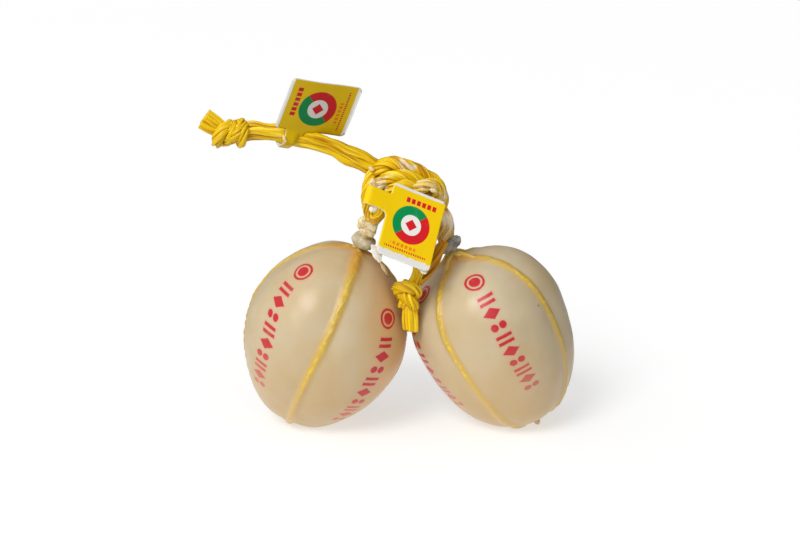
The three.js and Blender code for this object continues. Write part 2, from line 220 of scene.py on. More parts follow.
scene = bpy.context.scene
scene.view_settings.view_transform = "Standard"
sky = Recipe(bpy.data.worlds.new("studio"), "Background")
towards = sky.add("VectorMath", {0: sky.add("TexCoord"), 1: SKY_FROM}, "Value", operation="DOT_PRODUCT")
fall = sky.span(towards, *SKY_FADE, *SKY_LIGHT, curve="LINEAR")
scene.world = sky.finish(Color=WHITE, Strength=fall)

bm = bmesh.new()
bmesh.ops.create_grid(bm, x_segments=2, y_segments=2, size=FLOOR_SIZE / 2)
floor = new_object("floor", to_mesh("floor", bm))

paper = Recipe(bpy.data.materials.new("paper"))
spot = paper.add("NewGeometry", output="Position")
out = paper.add("VectorMath", {0: spot}, "Value", operation="LENGTH")
bounce = paper.span(out, *PAPER_REACH, PAPER_BOUNCE, 0.0)
lift = paper.pick(paper.add("LightPath", output="Is Camera Ray"), bounce, PAPER_LIFT)
floor.data.materials.append(paper.finish(Base_Color=PAPER_GREY, Roughness=0.45, Emission_Color=WHITE,
                                         Emission_Strength=lift))

key = bpy.data.lights.new("soft_box", "SUN")
key.angle = math.radians(KEY_SOFTNESS)
key.energy = KEY_POWER
soft_box = new_object("soft_box", key)
soft_box.rotation_euler = KEY_FROM.to_track_quat("Z", "Y").to_euler()
print("studio: one soft light,", KEY_SOFTNESS, "degrees wide")

# %% [markdown]
# ## Split twine
# The rope is film twine: flat polypropylene tape, split into fibres and twisted. Its colour runs in fine
# streaks along the strand. The streaks come from noise on the strand's own map, which has the turn round
# the strand in u and the length along it in v, so they bend with it. Where bunched fibres sink, the colour
# is painted deeper, as the shade in the grooves between them. Wax from the dipping has soaked
# into parts of it, and each mesh says how much in its wax attribute.

# %% Twine finish
# the deep colour serves both the darker streaks and the painted shade in the grooves
TWINE_DEEP_AND_GROOVE_SHADE = colour(182, 124, 0)
TWINE_MAIN = colour(228, 188, 0)
TWINE_PALE = colour(243, 216, 62)
WAX_CREAM = colour(226, 211, 182)
FINE_STREAKS = (13.0, 40.0, 1.0)  # repeats round the strand, and in a metre of it
BROAD_STREAKS = (4.0, 25.0, 1.0)


def twine_finish(name, deep, main, pale, gloss):
    recipe = Recipe(bpy.data.materials.new(name))
    strand_map = recipe.add("UVMap", uv_map="strand")
    fine_at, broad_at = (recipe.add("Mapping", {"Vector": strand_map, "Scale": scale})
                         for scale in (FINE_STREAKS, BROAD_STREAKS))
    streaks = recipe.noise(fine_at, 1.0, detail=1.0)
    broad = recipe.noise(broad_at, 1.0, detail=0.0)
    # painted shade: the ridge term makes the colour deeper where bunched fibres sink, standing for the shade in
    # the grooves
    tone = recipe.attribute("ridge") * 0.35 + streaks + broad * 0.45
    shade = recipe.mix(recipe.span(tone, 0.42, 0.76), deep, main)
    shade = recipe.mix(recipe.span(tone, 0.8, 1.12), shade, pale)
    blotch = recipe.noise(recipe.place(), 420.0, detail=2.0)
    wax = recipe.span(blotch * 0.9 + recipe.attribute("wax"), 0.72, 1.15)
    return recipe.finish(Base_Color=recipe.mix(wax, shade, WAX_CREAM), Roughness=streaks * 0.25 + gloss,
                         Normal=recipe.bump(streaks, 0.0004, 0.5), Subsurface_Weight=0.2,
                         Subsurface_Radius=(1.0, 0.6, 0.1), Subsurface_Scale=0.0012, Specular_IOR_Level=0.28)


rope_finish = twine_finish("split_twine", TWINE_DEEP_AND_GROOVE_SHADE, TWINE_MAIN, TWINE_PALE, gloss=0.22)
amber_finish = twine_finish("amber_twine", colour(158, 94, 4), colour(208, 146, 18), colour(222, 178, 64),
                            gloss=0.2)
print("finishes:", rope_finish.name, amber_finish.name)

# %% [markdown]
# ## Making strands
# A strand is one closed section drawn out along a smooth route. The section is a bmesh circle, and each
# step extrudes its end face and moves the new ring into place, the way a rope maker's eye travels along
# the rope. The section's edge is not round: it has ridges that run along the strand, as bunched fibres do.
# A curve with a bevel would be quicker, but its section could grow no ridges of its own on the way.

# %% Routes


def way_along(line):
    """How far along a line each of its points is."""
    return np.concatenate([[0], np.cumsum(np.linalg.norm(np.diff(line, axis=0), axis=1))])


def evenly(line, count):
    """The same line, as some points at equal steps."""
    along = way_along(line)
    marks = np.linspace(0, along[-1], count)
    return np.stack([np.interp(marks, along, line[:, axis]) for axis in range(3)], axis=1)


def smooth_route(points, step):
    """Evenly spaced points, about a step apart, on a smooth line through the given points."""
    points = [Vector(p) for p in points]
    ends = [2 * points[0] - points[1], *points, 2 * points[-1] - points[-2]]
    dense = []
    parts = 16
    for a, b, c, d in zip(ends, ends[1:], ends[2:], ends[3:]):
        for i in range(parts):
            t = i / parts
            bend = (2 * a - 5 * b + 4 * c - d) * t * t + (3 * b - a - 3 * c + d) * t ** 3
            dense.append((2 * b + (c - a) * t + bend) / 2)
    dense = np.array([*dense, points[-1]])
    return [Vector(p) for p in evenly(dense, max(4, round(way_along(dense)[-1] / step) + 1))]


def route_frames(route):
    """At each point of a route: its direction, and two directions across that don't spin round it."""
    frames = []
    side = None
    for i in range(len(route)):
        along = (route[min(i + 1, len(route) - 1)] - route[max(i - 1, 0)]).normalized()
        if side is None:
            side = along.orthogonal()
        side = (side - along * side.dot(along)).normalized()
        frames.append((along, side, along.cross(side)))
    return frames


def route_length(route):
    return sum((b - a).length for a, b in zip(route, route[1:]))


# %% Drawing out one bundle of fibres
STRAND_LAYERS = ("along", "around", "ridge", "wax")
BUNCHES = (1.4, 60)  # noise across and along the strand that bunches its fibres
FIBRES = (4.5, 90)
SPOT_REACH = 2.5  # radii past which a spot of wax doesn't count


def new_strands():
    """An empty bmesh with the layers that strands carry."""
    bm = bmesh.new()
    for name in STRAND_LAYERS:
        bm.verts.layers.float.new(name)
    return bm


strands = new_strands()  # the strands of the piece in hand, until finish_strands makes the piece
wax_spots = []  # where wax has set on the piece in hand: places, radii, and how much at the middle


def next_ring(bm, face, ring, first):
    """Extrudes the end face, and gives the new end face and its ring in the old ring's order."""
    made = bmesh.ops.extrude_face_region(bm, geom=[face])["geom"]
    if not first:
        bmesh.ops.delete(bm, geom=[face], context="FACES_ONLY")
    fresh = {g for g in made if isinstance(g, bmesh.types.BMVert)}
    end = next(g for g in made if isinstance(g, bmesh.types.BMFace))
    return end, [next(e.other_vert(v) for e in v.link_edges if e.other_vert(v) in fresh) for v in ring]


def draw_out(route, width, thick, sides=20, twist=0.0, ridge=0.16, wax=0.0, wax_end=None, seed=0,
             widths=None, facing=None):
    """Draws one bundle of fibres along a route.

    twist is in turns per metre, ridge is how far bunched fibres stand out, wax goes over to wax_end on the
    way, widths scales the section on its way, and facing keeps its flat side to one direction.
    """
    wax_end = wax if wax_end is None else wax_end
    bm = new_strands()
    layers = [bm.verts.layers.float[name] for name in STRAND_LAYERS]
    shift = Vector((seed * 7.31, seed * 3.17, seed * 1.73))
    ring = bmesh.ops.create_circle(bm, cap_ends=True, segments=sides, radius=width / 2)["verts"]
    face = next(iter(ring[0].link_faces))
    travelled = 0.0
    for i, (place, (along, side, up)) in enumerate(zip(route, route_frames(route))):
        if facing is not None:
            side = along.cross(facing).normalized()
            up = along.cross(side)
        if i > 0:
            travelled += (place - route[i - 1]).length
            face, ring = next_ring(bm, face, ring, first=i == 1)
        share = i / (len(route) - 1)
        size = widths(share) if widths else 1.0
        turn = 2 * math.pi * twist * travelled
        spots = [spot for spot in wax_spots if (spot[0] - place).length < SPOT_REACH * spot[1]]
        for k, vert in enumerate(ring):
            angle = 2 * math.pi * k / sides
            c, s = math.cos(angle), math.sin(angle)
            bunch, fibre = (noise.noise(Vector((c * across, s * across, travelled * down)) + shift)
                            for across, down in (BUNCHES, FIBRES))
            height = bunch + 0.6 * fibre
            x = c * width / 2 * (1 + ridge * height) * size
            y = s * thick / 2 * (1 + ridge * height) * size
            vert.co = place + side * (x * math.cos(turn) - y * math.sin(turn)) \
                + up * (x * math.sin(turn) + y * math.cos(turn))
            waxed = wax + (wax_end - wax) * share
            for spot, radius, much in spots:
                waxed += much * math.exp(-((vert.co - spot).length / radius) ** 2)
            for layer, value in zip(layers, (travelled, k / sides + seed, height, waxed)):
                vert[layer] = value
    bundle = to_mesh("bundle", bm)
    strands.from_mesh(bundle)
    bpy.data.meshes.remove(bundle)


# %% Laying a rope


def lay_rope(points, ribbons, width, thick, lay, turns, step=0.9 * MM, start=0.0, seed=0, **more):
    """Lays several bundles round one route, making some turns on the way."""
    centre = smooth_route(points, step)
    frames = route_frames(centre)
    twist = turns / max(route_length(centre), MM)
    for n in range(ribbons):
        line = []
        for i, (place, (_, side, up)) in enumerate(zip(centre, frames)):
            angle = start + 2 * math.pi * (n / ribbons + turns * i / (len(centre) - 1))
            line.append(place + (side * math.cos(angle) + up * math.sin(angle)) * lay)
        draw_out(line, width, thick, twist=twist, seed=seed + n, **more)


# %% Finishing a piece


def map_strands(bm):
    """Writes the strand map: the turn round the strand in u and metres along it in v."""
    along_layer = bm.verts.layers.float["along"]
    around_layer = bm.verts.layers.float["around"]
    uv_layer = bm.loops.layers.uv.new("strand")
    for face in bm.faces:
        if len(face.verts) > 4:
            continue
        turns = [loop.vert[around_layer] for loop in face.loops]
        first = min(turns)
        wraps = max(turns) - first > 0.5
        for loop, turn in zip(face.loops, turns):
            turn += 1.0 if wraps and turn - first < 0.5 else 0.0
            loop[uv_layer].uv = (turn, loop.vert[along_layer])


def finish_piece(name, bm, materials, nodes=()):
    """Turns a bmesh into a piece that rides on the object and stands for some nodes of the frame."""
    bmesh.ops.recalc_face_normals(bm, faces=bm.faces)
    mesh = to_mesh(name, bm)
    mesh.shade_smooth()
    for material in materials:
        mesh.materials.append(material)
    piece = new_object(name, mesh)
    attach(piece, "root")
    if nodes:
        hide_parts(*nodes)
    print(name, "has", sum(len(p.vertices) - 2 for p in mesh.polygons), "triangles")
    return piece


def finish_strands(name, material, nodes=()):
    """Makes one piece of the strands drawn so far, and starts the next one."""
    global strands
    map_strands(strands)
    piece = finish_piece(name, strands, [material], nodes)
    strands = new_strands()
    return piece


# %% [markdown]
# ## Overhand knots
# A knot drawn by hand never looks tight. So a loose overhand is laid out, and a small rope simulation
# pulls its ends apart: links keep their length, and parts of the rope that touch push each other away.
# One rope diameter is the unit of length.

# %% Pulling a knot tight
KNOT_LINKS = 84
LEAD_LINKS = 12  # in each of the two ends that are pulled
KNOT_PULLS = 346
KNOT_ROUNDS = 24
KNOT_SIZE = 1.1
PULL = ((0.05, 0, 0), (-0.05, 0, 0))
TO_AXIS = 0.98  # what is left of an end's distance from the X axis after a pull
STIFFNESS = 0.02
NEIGHBOURS = 1.6  # rope nearer than this along the line doesn't push
KNOT_REACH = 1.6  # kept on each side of the knot's middle


def tie_overhand():
    """The centre line of a tight overhand knot in a rope one unit thick, with its ends along X."""
    turn = np.linspace(math.pi * 1.1, math.pi * 2.9, KNOT_LINKS - 2 * LEAD_LINKS)
    loop = [np.sin(turn) + 2 * np.sin(2 * turn), np.cos(turn) - 2 * np.cos(2 * turn), -1.1 * np.sin(3 * turn)]
    loop = np.stack(loop, axis=1)
    lead = np.linspace(1, 0, LEAD_LINKS + 1)[:-1, None]
    entry = loop[0] + lead * (7.0, -3.0, 0.0)
    leave = loop[-1] + lead[::-1] * (-7.0, -3.0, 0.0)
    line = evenly(np.concatenate([entry, loop, leave]) * KNOT_SIZE, KNOT_LINKS)
    link = np.linalg.norm(np.diff(line, axis=0), axis=1).mean()
    first, second = np.triu_indices(KNOT_LINKS, k=round(NEIGHBOURS / link))
    for _ in range(KNOT_PULLS):
        held = line[[0, -1]] + PULL
        held[:, 1:] *= TO_AXIS
        for _ in range(KNOT_ROUNDS):
            line[[0, -1]] = held
            for odd in (0, 1):
                b = line[odd + 1::2]
                a = line[odd::2][:len(b)]
                apart = b - a
                fix = apart * (1 - link / np.linalg.norm(apart, axis=1, keepdims=True)) / 2
                a += fix
                b -= fix
            apart = line[second] - line[first]
            length = np.linalg.norm(apart, axis=1)
            close = length < 1
            push = apart[close] * ((1 - length[close]) / length[close] / 4)[:, None]
            np.add.at(line, second[close], push)
            np.add.at(line, first[close], -push)
            line[1:-1] += STIFFNESS * (line[2:] + line[:-2] - 2 * line[1:-1])
    bent = line[np.abs(line[:, 1]) > 0.3]
    return line - (bent.max(axis=0) + bent.min(axis=0)) / 2 * (1, 0, 0)


TIGHT_KNOT = tie_overhand()


def place_knot(at, along_deg, thick, roll_deg):
    """The tight knot's centre line at a place, turned in the XZ plane and rolled about itself."""
    kept = [Vector(p) for p in TIGHT_KNOT if abs(p[0]) < KNOT_REACH]
    turn = Matrix.Rotation(-math.radians(along_deg), 4, "Y") @ Matrix.Rotation(math.radians(roll_deg), 4, "X")
    return [at + turn @ (p * thick) for p in kept]


print("knot: span", np.round(np.ptp(TIGHT_KNOT[20:-20], axis=0), 2), "diameters")

# %% [markdown]
# ## The two loose tails
# Each end of the rope is a loose tail, stiff with wax, that ends in an overhand knot and a flared cut.
# Their routes are the real ones, from the frame, so they are laid first. A tail is a few flat bundles
# side by side, and the same bundles go on through the knot and spread at the cut.

# %% Tail routes
UPPER_TAIL = [mm(*p) for p in (
    (-11.5, -1, 119.5), (-16.3, -2, 121.9), (-20.7, -2.3, 124.1), (-28.2, -2.8, 128), (-35.6, -3, 131.6),
    (-42.7, -3, 133.6), (-47.9, -3, 134.9), (-53.2, -2.8, 136.5), (-58.5, -2.5, 137.7), (-68, -2.2, 138))]
FRONT_TAIL = [mm(*p) for p in (
    (10.3, -8.5, 98), (9.5, -11.5, 91.9), (6.7, -15, 86.1), (4.5, -17.5, 80), (2.2, -18, 72), (1.2, -18, 69))]
SIDE_STRAND = [mm(*p) for p in ((15.6, -9.5, 89.5), (12.2, -12.5, 82), (8.8, -15.5, 77), (4.5, -18, 72.5))]
ROUTE_STEP = 0.8 * MM
print("routes:", len(UPPER_TAIL), "points for the upper tail and", len(FRONT_TAIL), "for the front tail")

# %% Flat bundles and a cut end


def wander(along, seed):
    """A slow wander between -1 and 1."""
    return noise.noise(Vector((along, 1.37 * seed + 0.5, 0.5)))


def flat_bundles(points, into, offsets, spread, width, thick, seed, **more):
    """Bundles side by side along a route and on into its knot, at offsets across it, a little uneven."""
    centre = smooth_route([*points, into], ROUTE_STEP)
    across = Vector(spread).normalized()
    for n, offset in enumerate(offsets):
        deep = DEEP * (-1) ** n * 0.4 * MM
        line = [p + across * (offset + wander(0.12 * i, seed + n)) * MM + deep for i, p in enumerate(centre)]
        draw_out(line, width, thick, seed=seed + n, widths=lambda share: 1 + 0.35 * wander(7 * share, seed - n),
                 **more)
    return smooth_route(points, ROUTE_STEP)


def cut_end(start, end, narrow, wide, ribbons, seed):
    """The spread end of a tail: ribbons that fan out from the knot to the cut."""
    along = (end - start).normalized()
    across = along.cross(DEEP).normalized()
    for n in range(ribbons):
        share = n / (ribbons - 1) - 0.5
        deep = DEEP * (-1) ** n * 0.5 * MM
        tip = end + along * random.uniform(-0.6, 0.6) * MM
        line = [start - along * 2 * MM, start + across * share * narrow * 0.7,
                (start + tip) / 2 + across * share * (narrow + wide) * 0.42 + deep,
                tip + across * share * wide * 0.7 + deep]
        draw_out(smooth_route(line, 0.7 * MM), wide / ribbons * 1.8, 2.3 * MM, sides=28, ridge=0.24,
                 seed=seed + n, facing=DEEP)


# %% [markdown]
# The knot on a tail is the tight centre line with five thin ribbons laid round it. A plump heart closes
# the gaps between them, and loose turns of rope can cross it where the real knot has been pulled over.

# %% A tied end
UPPER_KNOT = dict(at=mm(-78.9, -2, 137), along=172, thick=4.8 * MM, roll=195, wraps=(5.6 * MM, -0.4 * MM))
FRONT_KNOT = dict(at=mm(-0.9, -18, 67.2), along=258, thick=4.7 * MM, roll=120, wraps=())
KNOT_RIBBONS = 5
WRAP_RIBBONS = 4
KNOT_RIBBON = dict(step=0.6 * MM, sides=18, ridge=0.2)


def tied_end(name, node, knot, seed):
    """The overhand knot on a tail: ribbons laid along the tight centre line, round a heart."""
    at, thick = knot["at"], knot["thick"]
    line = place_knot(at, knot["along"], thick, knot["roll"])
    lay_rope(line, KNOT_RIBBONS, 0.52 * thick, 0.4 * thick, 0.33 * thick, turns=1.8, seed=seed, **KNOT_RIBBON)
    along = (line[-1] - line[0]).normalized()
    heart = smooth_route([at - along * thick, at, at + along * thick], KNOT_RIBBON["step"])
    draw_out(heart, 1.9 * thick, 1.6 * thick, seed=seed, widths=lambda share: math.sin(math.pi * share) + 0.02)
    across = along.cross(DEEP)
    for number, shift in enumerate(knot["wraps"]):
        slant = 0.12 * (1 + 2 * number) * thick
        turn = [at + along * (shift + slant * math.cos(a + 1))
                + (across * math.cos(a) + DEEP * math.sin(a)) * 0.86 * thick
                for a in np.linspace(0, 2 * math.pi, 13)]
        lay_rope(turn, WRAP_RIBBONS, 0.5 * thick, 0.36 * thick, 0.26 * thick, turns=1, seed=seed + 8 + number,
                 **KNOT_RIBBON)
    return finish_strands(name, rope_finish, [node])


# %% [markdown]
# The upper tail stands out to the side: three ribbons side by side, then the knot, then four ribbons
# that flare. The front tail hangs down between the cheeses. It is thinner, and a single strand of amber
# twine joins it from the side.

# %% Upper tail
random.seed(4)
upper_path = flat_bundles(UPPER_TAIL, mm(-72, -2, 137.5), (-2.4, -0.1, 2.3), (0.3, 0, 1), 4.3 * MM, 3.2 * MM,
                          10, sides=40, twist=5, ridge=0.28)
upper_tail = finish_strands("upper_tail", rope_finish, ["tail_upper"])
upper_knot = tied_end("upper_knot", "tail_upper_knot", UPPER_KNOT, 14)
cut_end(mm(-82, -2, 138), mm(-90.5, -2, 143.7), narrow=4.5 * MM, wide=8.2 * MM, ribbons=4, seed=17)
upper_end = finish_strands("upper_end", rope_finish, ["tail_upper_end"])
print("upper tail:", round(route_length(upper_path) * 1000), "mm to its knot")

# %% Front tail
front_path = flat_bundles(FRONT_TAIL, mm(0.5, -18, 67), (-1.1, 1.1), (1, 0, 0.3), 3.3 * MM, 3.0 * MM, 20,
                          sides=30, twist=5, ridge=0.26)
front_tail = finish_strands("front_tail", rope_finish, ["tail_front"])
lay_rope(SIDE_STRAND, 3, 2.4 * MM, 1.8 * MM, 1.2 * MM, turns=0.5, sides=20, seed=24)
side_strand = finish_strands("side_strand", amber_finish)
front_knot = tied_end("front_knot", "tail_front_knot", FRONT_KNOT, 26)
cut_end(mm(0.6, -18.6, 61), mm(0.9, -19.6, 50.6), narrow=4.6 * MM, wide=5.2 * MM, ribbons=3, seed=30)
front_end = finish_strands("front_end", rope_finish, ["tail_front_end"])
print("front tail:", round(route_length(front_path) * 1000), "mm to its knot")

# %% [markdown]
# ## The tags
# Two printed cards with an arm that is bent round the rope. The print is plain fields of colour: a round
# badge, rows of short bars, and white margins. Nodes can draw all of it from the card's own flat map,
# in millimetres, so the edges stay sharp at any distance. The back and the cut edges are bare card.

# %% Card finish
CARD_WHITE = colour(222, 219, 214)
CARD_INKS = (colour(226, 188, 0), colour(226, 120, 10), colour(200, 26, 34), colour(0, 132, 70), CARD_WHITE)
BADGE_MIDDLE = (12.4, 16.0)
BADGE_RADIUS = 8.8
BADGE_INNER = 4.7
TOP_MARGIN = 1.25


def card_finish(name, shade, margin_from, torn):
    """The printed face: shade is painted light that scales its inks and haze, below 1 on a card turned away
    from the light, and its lower margin starts at a depth and is torn by so much.
    """
    recipe = Recipe(bpy.data.materials.new(name))
    yellow, orange, red, green, white = ((*(c * shade for c in tone[:3]), 1.0) for tone in CARD_INKS)
    u, v, _ = recipe.axes(recipe.add("UVMap", uv_map="card"))

    def inside(value, low, high, soft=0.12):
        return recipe.span(value, low - soft, low + soft) * recipe.span(value, high + soft, high - soft)

    def row(v_low, v_high, u_low, u_high, pitch, share):
        bars = recipe.span(recipe.math("FRACT", u / pitch), share + 0.05, share - 0.05)
        return bars * inside(v, v_low, v_high) * inside(u, u_low, u_high)

    across, down = u - BADGE_MIDDLE[0], v - BADGE_MIDDLE[1]
    out = recipe.math("SQRT", across ** 2 + down ** 2)
    halves = recipe.mix(recipe.span(across + down, -0.1, 0.1), green, red)
    base = recipe.mix(inside(out, BADGE_INNER, BADGE_RADIUS), yellow, halves)
    base = recipe.mix(recipe.span(out, BADGE_INNER + 0.1, BADGE_INNER - 0.1), base, white)
    base = recipe.mix(recipe.span(abs(across) + abs(down), 2.9, 2.7), base, red)
    for ink, *limits in ((red, 4.0, 6.3, 7.5, 22.5, 2.5, 0.72), (orange, 25.8, 27.3, 5.0, 17.0, 2.0, 0.66),
                         (red, 28.2, 29.1, 2.5, 22.5, 1.1, 0.6)):
        base = recipe.mix(row(*limits), base, ink)
    place = recipe.place()
    low_edge = (recipe.noise(place, 900.0, detail=2.0) - 0.5) * torn + v
    margin = recipe.math("MAXIMUM", recipe.span(low_edge, margin_from - 0.2, margin_from + 0.2),
                         recipe.span(v, TOP_MARGIN + 0.1, TOP_MARGIN - 0.1))
    base = recipe.mix(margin, base, CARD_WHITE)
    haze = recipe.noise(place, 160.0)
    base = recipe.mix(recipe.span(haze, 0.6, 0.95, 0.0, 0.25 * shade), base, white)
    relief = recipe.bump(margin * 2.0 + recipe.noise(place, 2600.0, detail=1.0), 0.00008, 0.4)
    return recipe.finish(Base_Color=base, Roughness=haze * 0.2 + 0.28, Normal=relief, Specular_IOR_Level=0.15)


def cloudy_finish(name, under, over, cloud, fade, rough, relief, spots=None, **more):
    """A finish that clouds from one colour over to another, with or without spots of a third.

    cloud is the noise's scale and detail, fade where the clouds begin and close, rough the roughness that
    the clouds add and that all of it has, relief the bump's depth and strength, and spots a colour, the
    scale of their noise, where they begin and close, and how much they cover.
    """
    recipe = Recipe(bpy.data.materials.new(name))
    place = recipe.place()
    clouds = recipe.noise(place, *cloud)
    base = recipe.mix(recipe.span(clouds, *fade), under, over)
    if spots:
        tone, scale, low, high, much = spots
        base = recipe.mix(recipe.span(recipe.noise(place, scale, detail=2.0), low, high, 0.0, much), base, tone)
    return recipe.finish(Base_Color=base, Roughness=clouds * rough[0] + rough[1],
                         Normal=recipe.bump(clouds, *relief), **more)


# Painted light on the print: the front card, which faces the light, is painted a little brighter, and the upper
# card, turned away from it, is painted darker as shade.
front_print_painted_lit = card_finish("front_print_painted_lit", shade=1.1, margin_from=30.6, torn=3.0)
upper_print_painted_shade = card_finish("upper_print_painted_shade", shade=0.8, margin_from=31.7, torn=0.2)
plain_card = cloudy_finish("plain_card", CARD_WHITE, colour(206, 200, 180), cloud=(240.0, 3.0), fade=(0.3, 0.8),
                           rough=(0.2, 0.35), relief=(0.0001, 0.3))
print("finishes:", front_print_painted_lit.name, upper_print_painted_shade.name, plain_card.name)

# %% [markdown]
# A card is cut as one flat outline of eight corners. Its corners are rounded with a bevel, it is extruded
# to its thickness, and cuts across it give it rows of points, so that the sheet can curl and its arm can
# bend. Bending flat stock keeps the true size of the card, which a modelled curve would stretch.

# %% Cutting and bending a card
CARD_WIDE, CARD_HIGH = 25.5, 33.5
ARM_TOP, ARM_FOOT, ARM_LONG = 5.5, 14, 12
CARD_CORNERS = ((0, 0), (0, -ARM_TOP), (-ARM_LONG, -ARM_TOP), (-ARM_LONG, -ARM_FOOT), (0, -ARM_FOOT),
                (0, -CARD_HIGH), (CARD_WIDE, -CARD_HIGH), (CARD_WIDE, 0))
CARD_ROUNDED = {0: 1.6, 4: 2.6, 5: 2.0, 6: 2.0, 7: 2.0}
CARD_THICKNESS = 0.7
CARD_CUTS = ((Vector((1, 0, 0)), -11.2, CARD_WIDE), (Vector((0, 1, 0)), -CARD_HIGH, 0))
CUT_PITCH = 1.1


def cut_card():
    """The flat card with its print map, in millimetres, with its upper left corner at zero."""
    bm = bmesh.new()
    corners = [bm.verts.new((x, y, 0)) for x, y in CARD_CORNERS]
    bm.faces.new(corners)
    for number, radius in CARD_ROUNDED.items():
        bmesh.ops.bevel(bm, geom=[corners[number]], offset=radius, segments=4, profile=0.5,
                        affect="VERTICES", material=-1)
    made = bmesh.ops.extrude_face_region(bm, geom=bm.faces[:])
    top = [g for g in made["geom"] if isinstance(g, bmesh.types.BMVert)]
    bmesh.ops.translate(bm, verts=top, vec=(0, 0, CARD_THICKNESS))
    for normal, low, high in CARD_CUTS:
        for cut in np.arange(low, high, CUT_PITCH):
            bmesh.ops.bisect_plane(bm, geom=bm.verts[:] + bm.edges[:] + bm.faces[:],
                                   plane_co=normal * float(cut), plane_no=normal)
    bmesh.ops.recalc_face_normals(bm, faces=bm.faces)
    uv_layer = bm.loops.layers.uv.new("card")
    for face in bm.faces:
        face.material_index = 0 if face.normal.z > 0.7 else 1
        for loop in face.loops:
            loop[uv_layer].uv = (loop.vert.co.x, -loop.vert.co.y)
    return bm


def make_card(name, node, face_print, top_left, across, down, curl, arm_rises, bends_at, bend_deg):
    """A card in its place. Its arm rises over a rope on one side, then bends back at a place by an angle."""
    bend = math.radians(bend_deg)
    bm = cut_card()
    for vert in bm.verts:
        x, y, z = vert.co
        z += arm_rises * smoothstep(0, 5, -x) * smoothstep(12.8, 10, -y)
        past = bends_at - x
        if past > 0:
            vert.co.x = bends_at - past * math.cos(bend) - z * math.sin(bend)
            z = -past * math.sin(bend) + z * math.cos(bend)
        bow = curl * ((x / CARD_WIDE - 0.5) ** 2 + 0.4 * math.sin(y * 0.16))
        vert.co.z = z + bow + 0.12 * noise.noise(Vector((x, y, 0)) * 0.15)
    right = Vector(across).normalized()
    face_out = Vector(down).cross(right).normalized()
    basis = Matrix((right, face_out.cross(right), face_out)).transposed().to_4x4()
    place = Matrix.Translation(mm(*top_left)) @ basis @ Matrix.Scale(MM, 4)
    bmesh.ops.transform(bm, matrix=place, verts=bm.verts)
    return finish_piece(name, bm, [face_print, plain_card], [node])


make_card("front_tag", "tag_front", front_print_painted_lit, (-6.5, -17.6, 118.7), (0.8915, 0.175, -0.4176),
          (-0.243, -0.596, -0.765), curl=0.8, arm_rises=0, bends_at=-9.8, bend_deg=70)
upper_tag = make_card("upper_tag", "tag_upper", upper_print_painted_shade, (-58.6, -10, 141.9), (0.345, -0.23, 0.91),
                      (0.887, 0.37, -0.2), curl=-1.2, arm_rises=3, bends_at=-6.6, bend_deg=88)

# %% [markdown]
# The two tails are loose ends, laid at their true length, each with its knot, its cut end, and the card or
# strand that it carries.

print("tails: upper and front")

# %% [markdown]
# ## The cheeses' shape
# A cheese is a full egg that four strands of twine press into lobes. Its surface is one formula: the
# distance from its middle, by the angle from the neck and the angle round the axis. The sizes are the
# frame's. All the arithmetic is in millimetres, on whole arrays of points.

# %% Sizes of the two cheeses
CHEESES = {
    "left": dict(middle=(-37.1, 0, 44.5), lean=21.5, nod=-3, above=41, below=47.8, radius=35.8, fullness=1.8,
                 strands=(-94, 5, 81, 176), sways=(2, 3, 3, -5), rises=(2.4, 3.4, 3.4, 2.3),
                 top_heavy=(-0.2, -0.4, 0.1, 0), nub=0, clip_height=5.5),
    "right": dict(middle=(35.4, 0, 48), lean=-25.7, nod=0, above=32.2, below=51.3, radius=33.2, fullness=2.2,
                  strands=(-119, -31, 58, 151), sways=(-3, -1, 4, -3), rises=(2.8, 2.85, 2.4, 0.8),
                  top_heavy=(0, -0.1, 0, 0), nub=2.7, clip_height=9),
}
CONTACT_X = 0.5
CONTACT_GAP = 0.3
BASE_DIMPLE = 2
DIMPLE_WIDTH = 7
TWINE_RADIUS = 1.35
STRAND_LEAVES = math.radians(21)  # from the neck, where a strand lifts off the surface
GATHER_RADIUS = 2.3
GATHER_LENGTH = 3.2
CLIP_HEIGHT = 4.6
for name, cheese in CHEESES.items():
    print(name, "is", round(cheese["above"] + cheese["below"], 1), "mm long")

# %% The surface as a formula


def strand_angles(cheese, from_neck):
    """The angles of the four strands round the axis, at some angles from the neck."""
    sway = np.sin(2 * from_neck)
    return np.radians([deg + amount * sway for deg, amount in zip(cheese["strands"], cheese["sways"])])


def lobe_at(cheese, from_neck, around):
    """The lobe's number, and 0 to 1 across it."""
    strands = strand_angles(cheese, from_neck)
    into = (around - strands) % (2 * math.pi)
    width = (np.roll(strands, -1, axis=0) - strands) % (2 * math.pi)
    number = into.argmin(axis=0)
    pick = number[None]
    return number, np.take_along_axis(into, pick, 0)[0] / np.take_along_axis(width, pick, 0)[0]


def falls_off(distance, width):
    """1 at no distance, and close to 0 past two widths."""
    return np.exp(-((distance / width) ** 2))


def reach(cheese, from_neck, around):
    """Distance from the middle to the pressed surface, without the film of wax round the strands."""
    c, s = np.cos(from_neck), np.sin(from_neck)
    half = np.where(c > 0, cheese["above"], cheese["below"])
    n = cheese["fullness"]
    smooth = (np.abs(c / half) ** n + np.abs(s / cheese["radius"]) ** n) ** (-1 / n)
    number, across = lobe_at(cheese, from_neck, around)
    rises = np.array(cheese["rises"])[number]
    swell = rises * (1 + np.array(cheese["top_heavy"])[number] * c)
    dimple = np.where(c < 0, BASE_DIMPLE * falls_off(cheese["radius"] * s, DIMPLE_WIDTH), 0)
    return smooth + swell * s * np.sin(math.pi * across) - dimple


def strand_distance(cheese, from_neck, around):
    """Distance along the surface to the nearest strand, and that strand's number."""
    apart = (around - strand_angles(cheese, from_neck) + math.pi) % (2 * math.pi) - math.pi
    apart = np.abs(apart) * cheese["radius"] * np.sin(from_neck)
    return apart.min(axis=0), apart.argmin(axis=0)


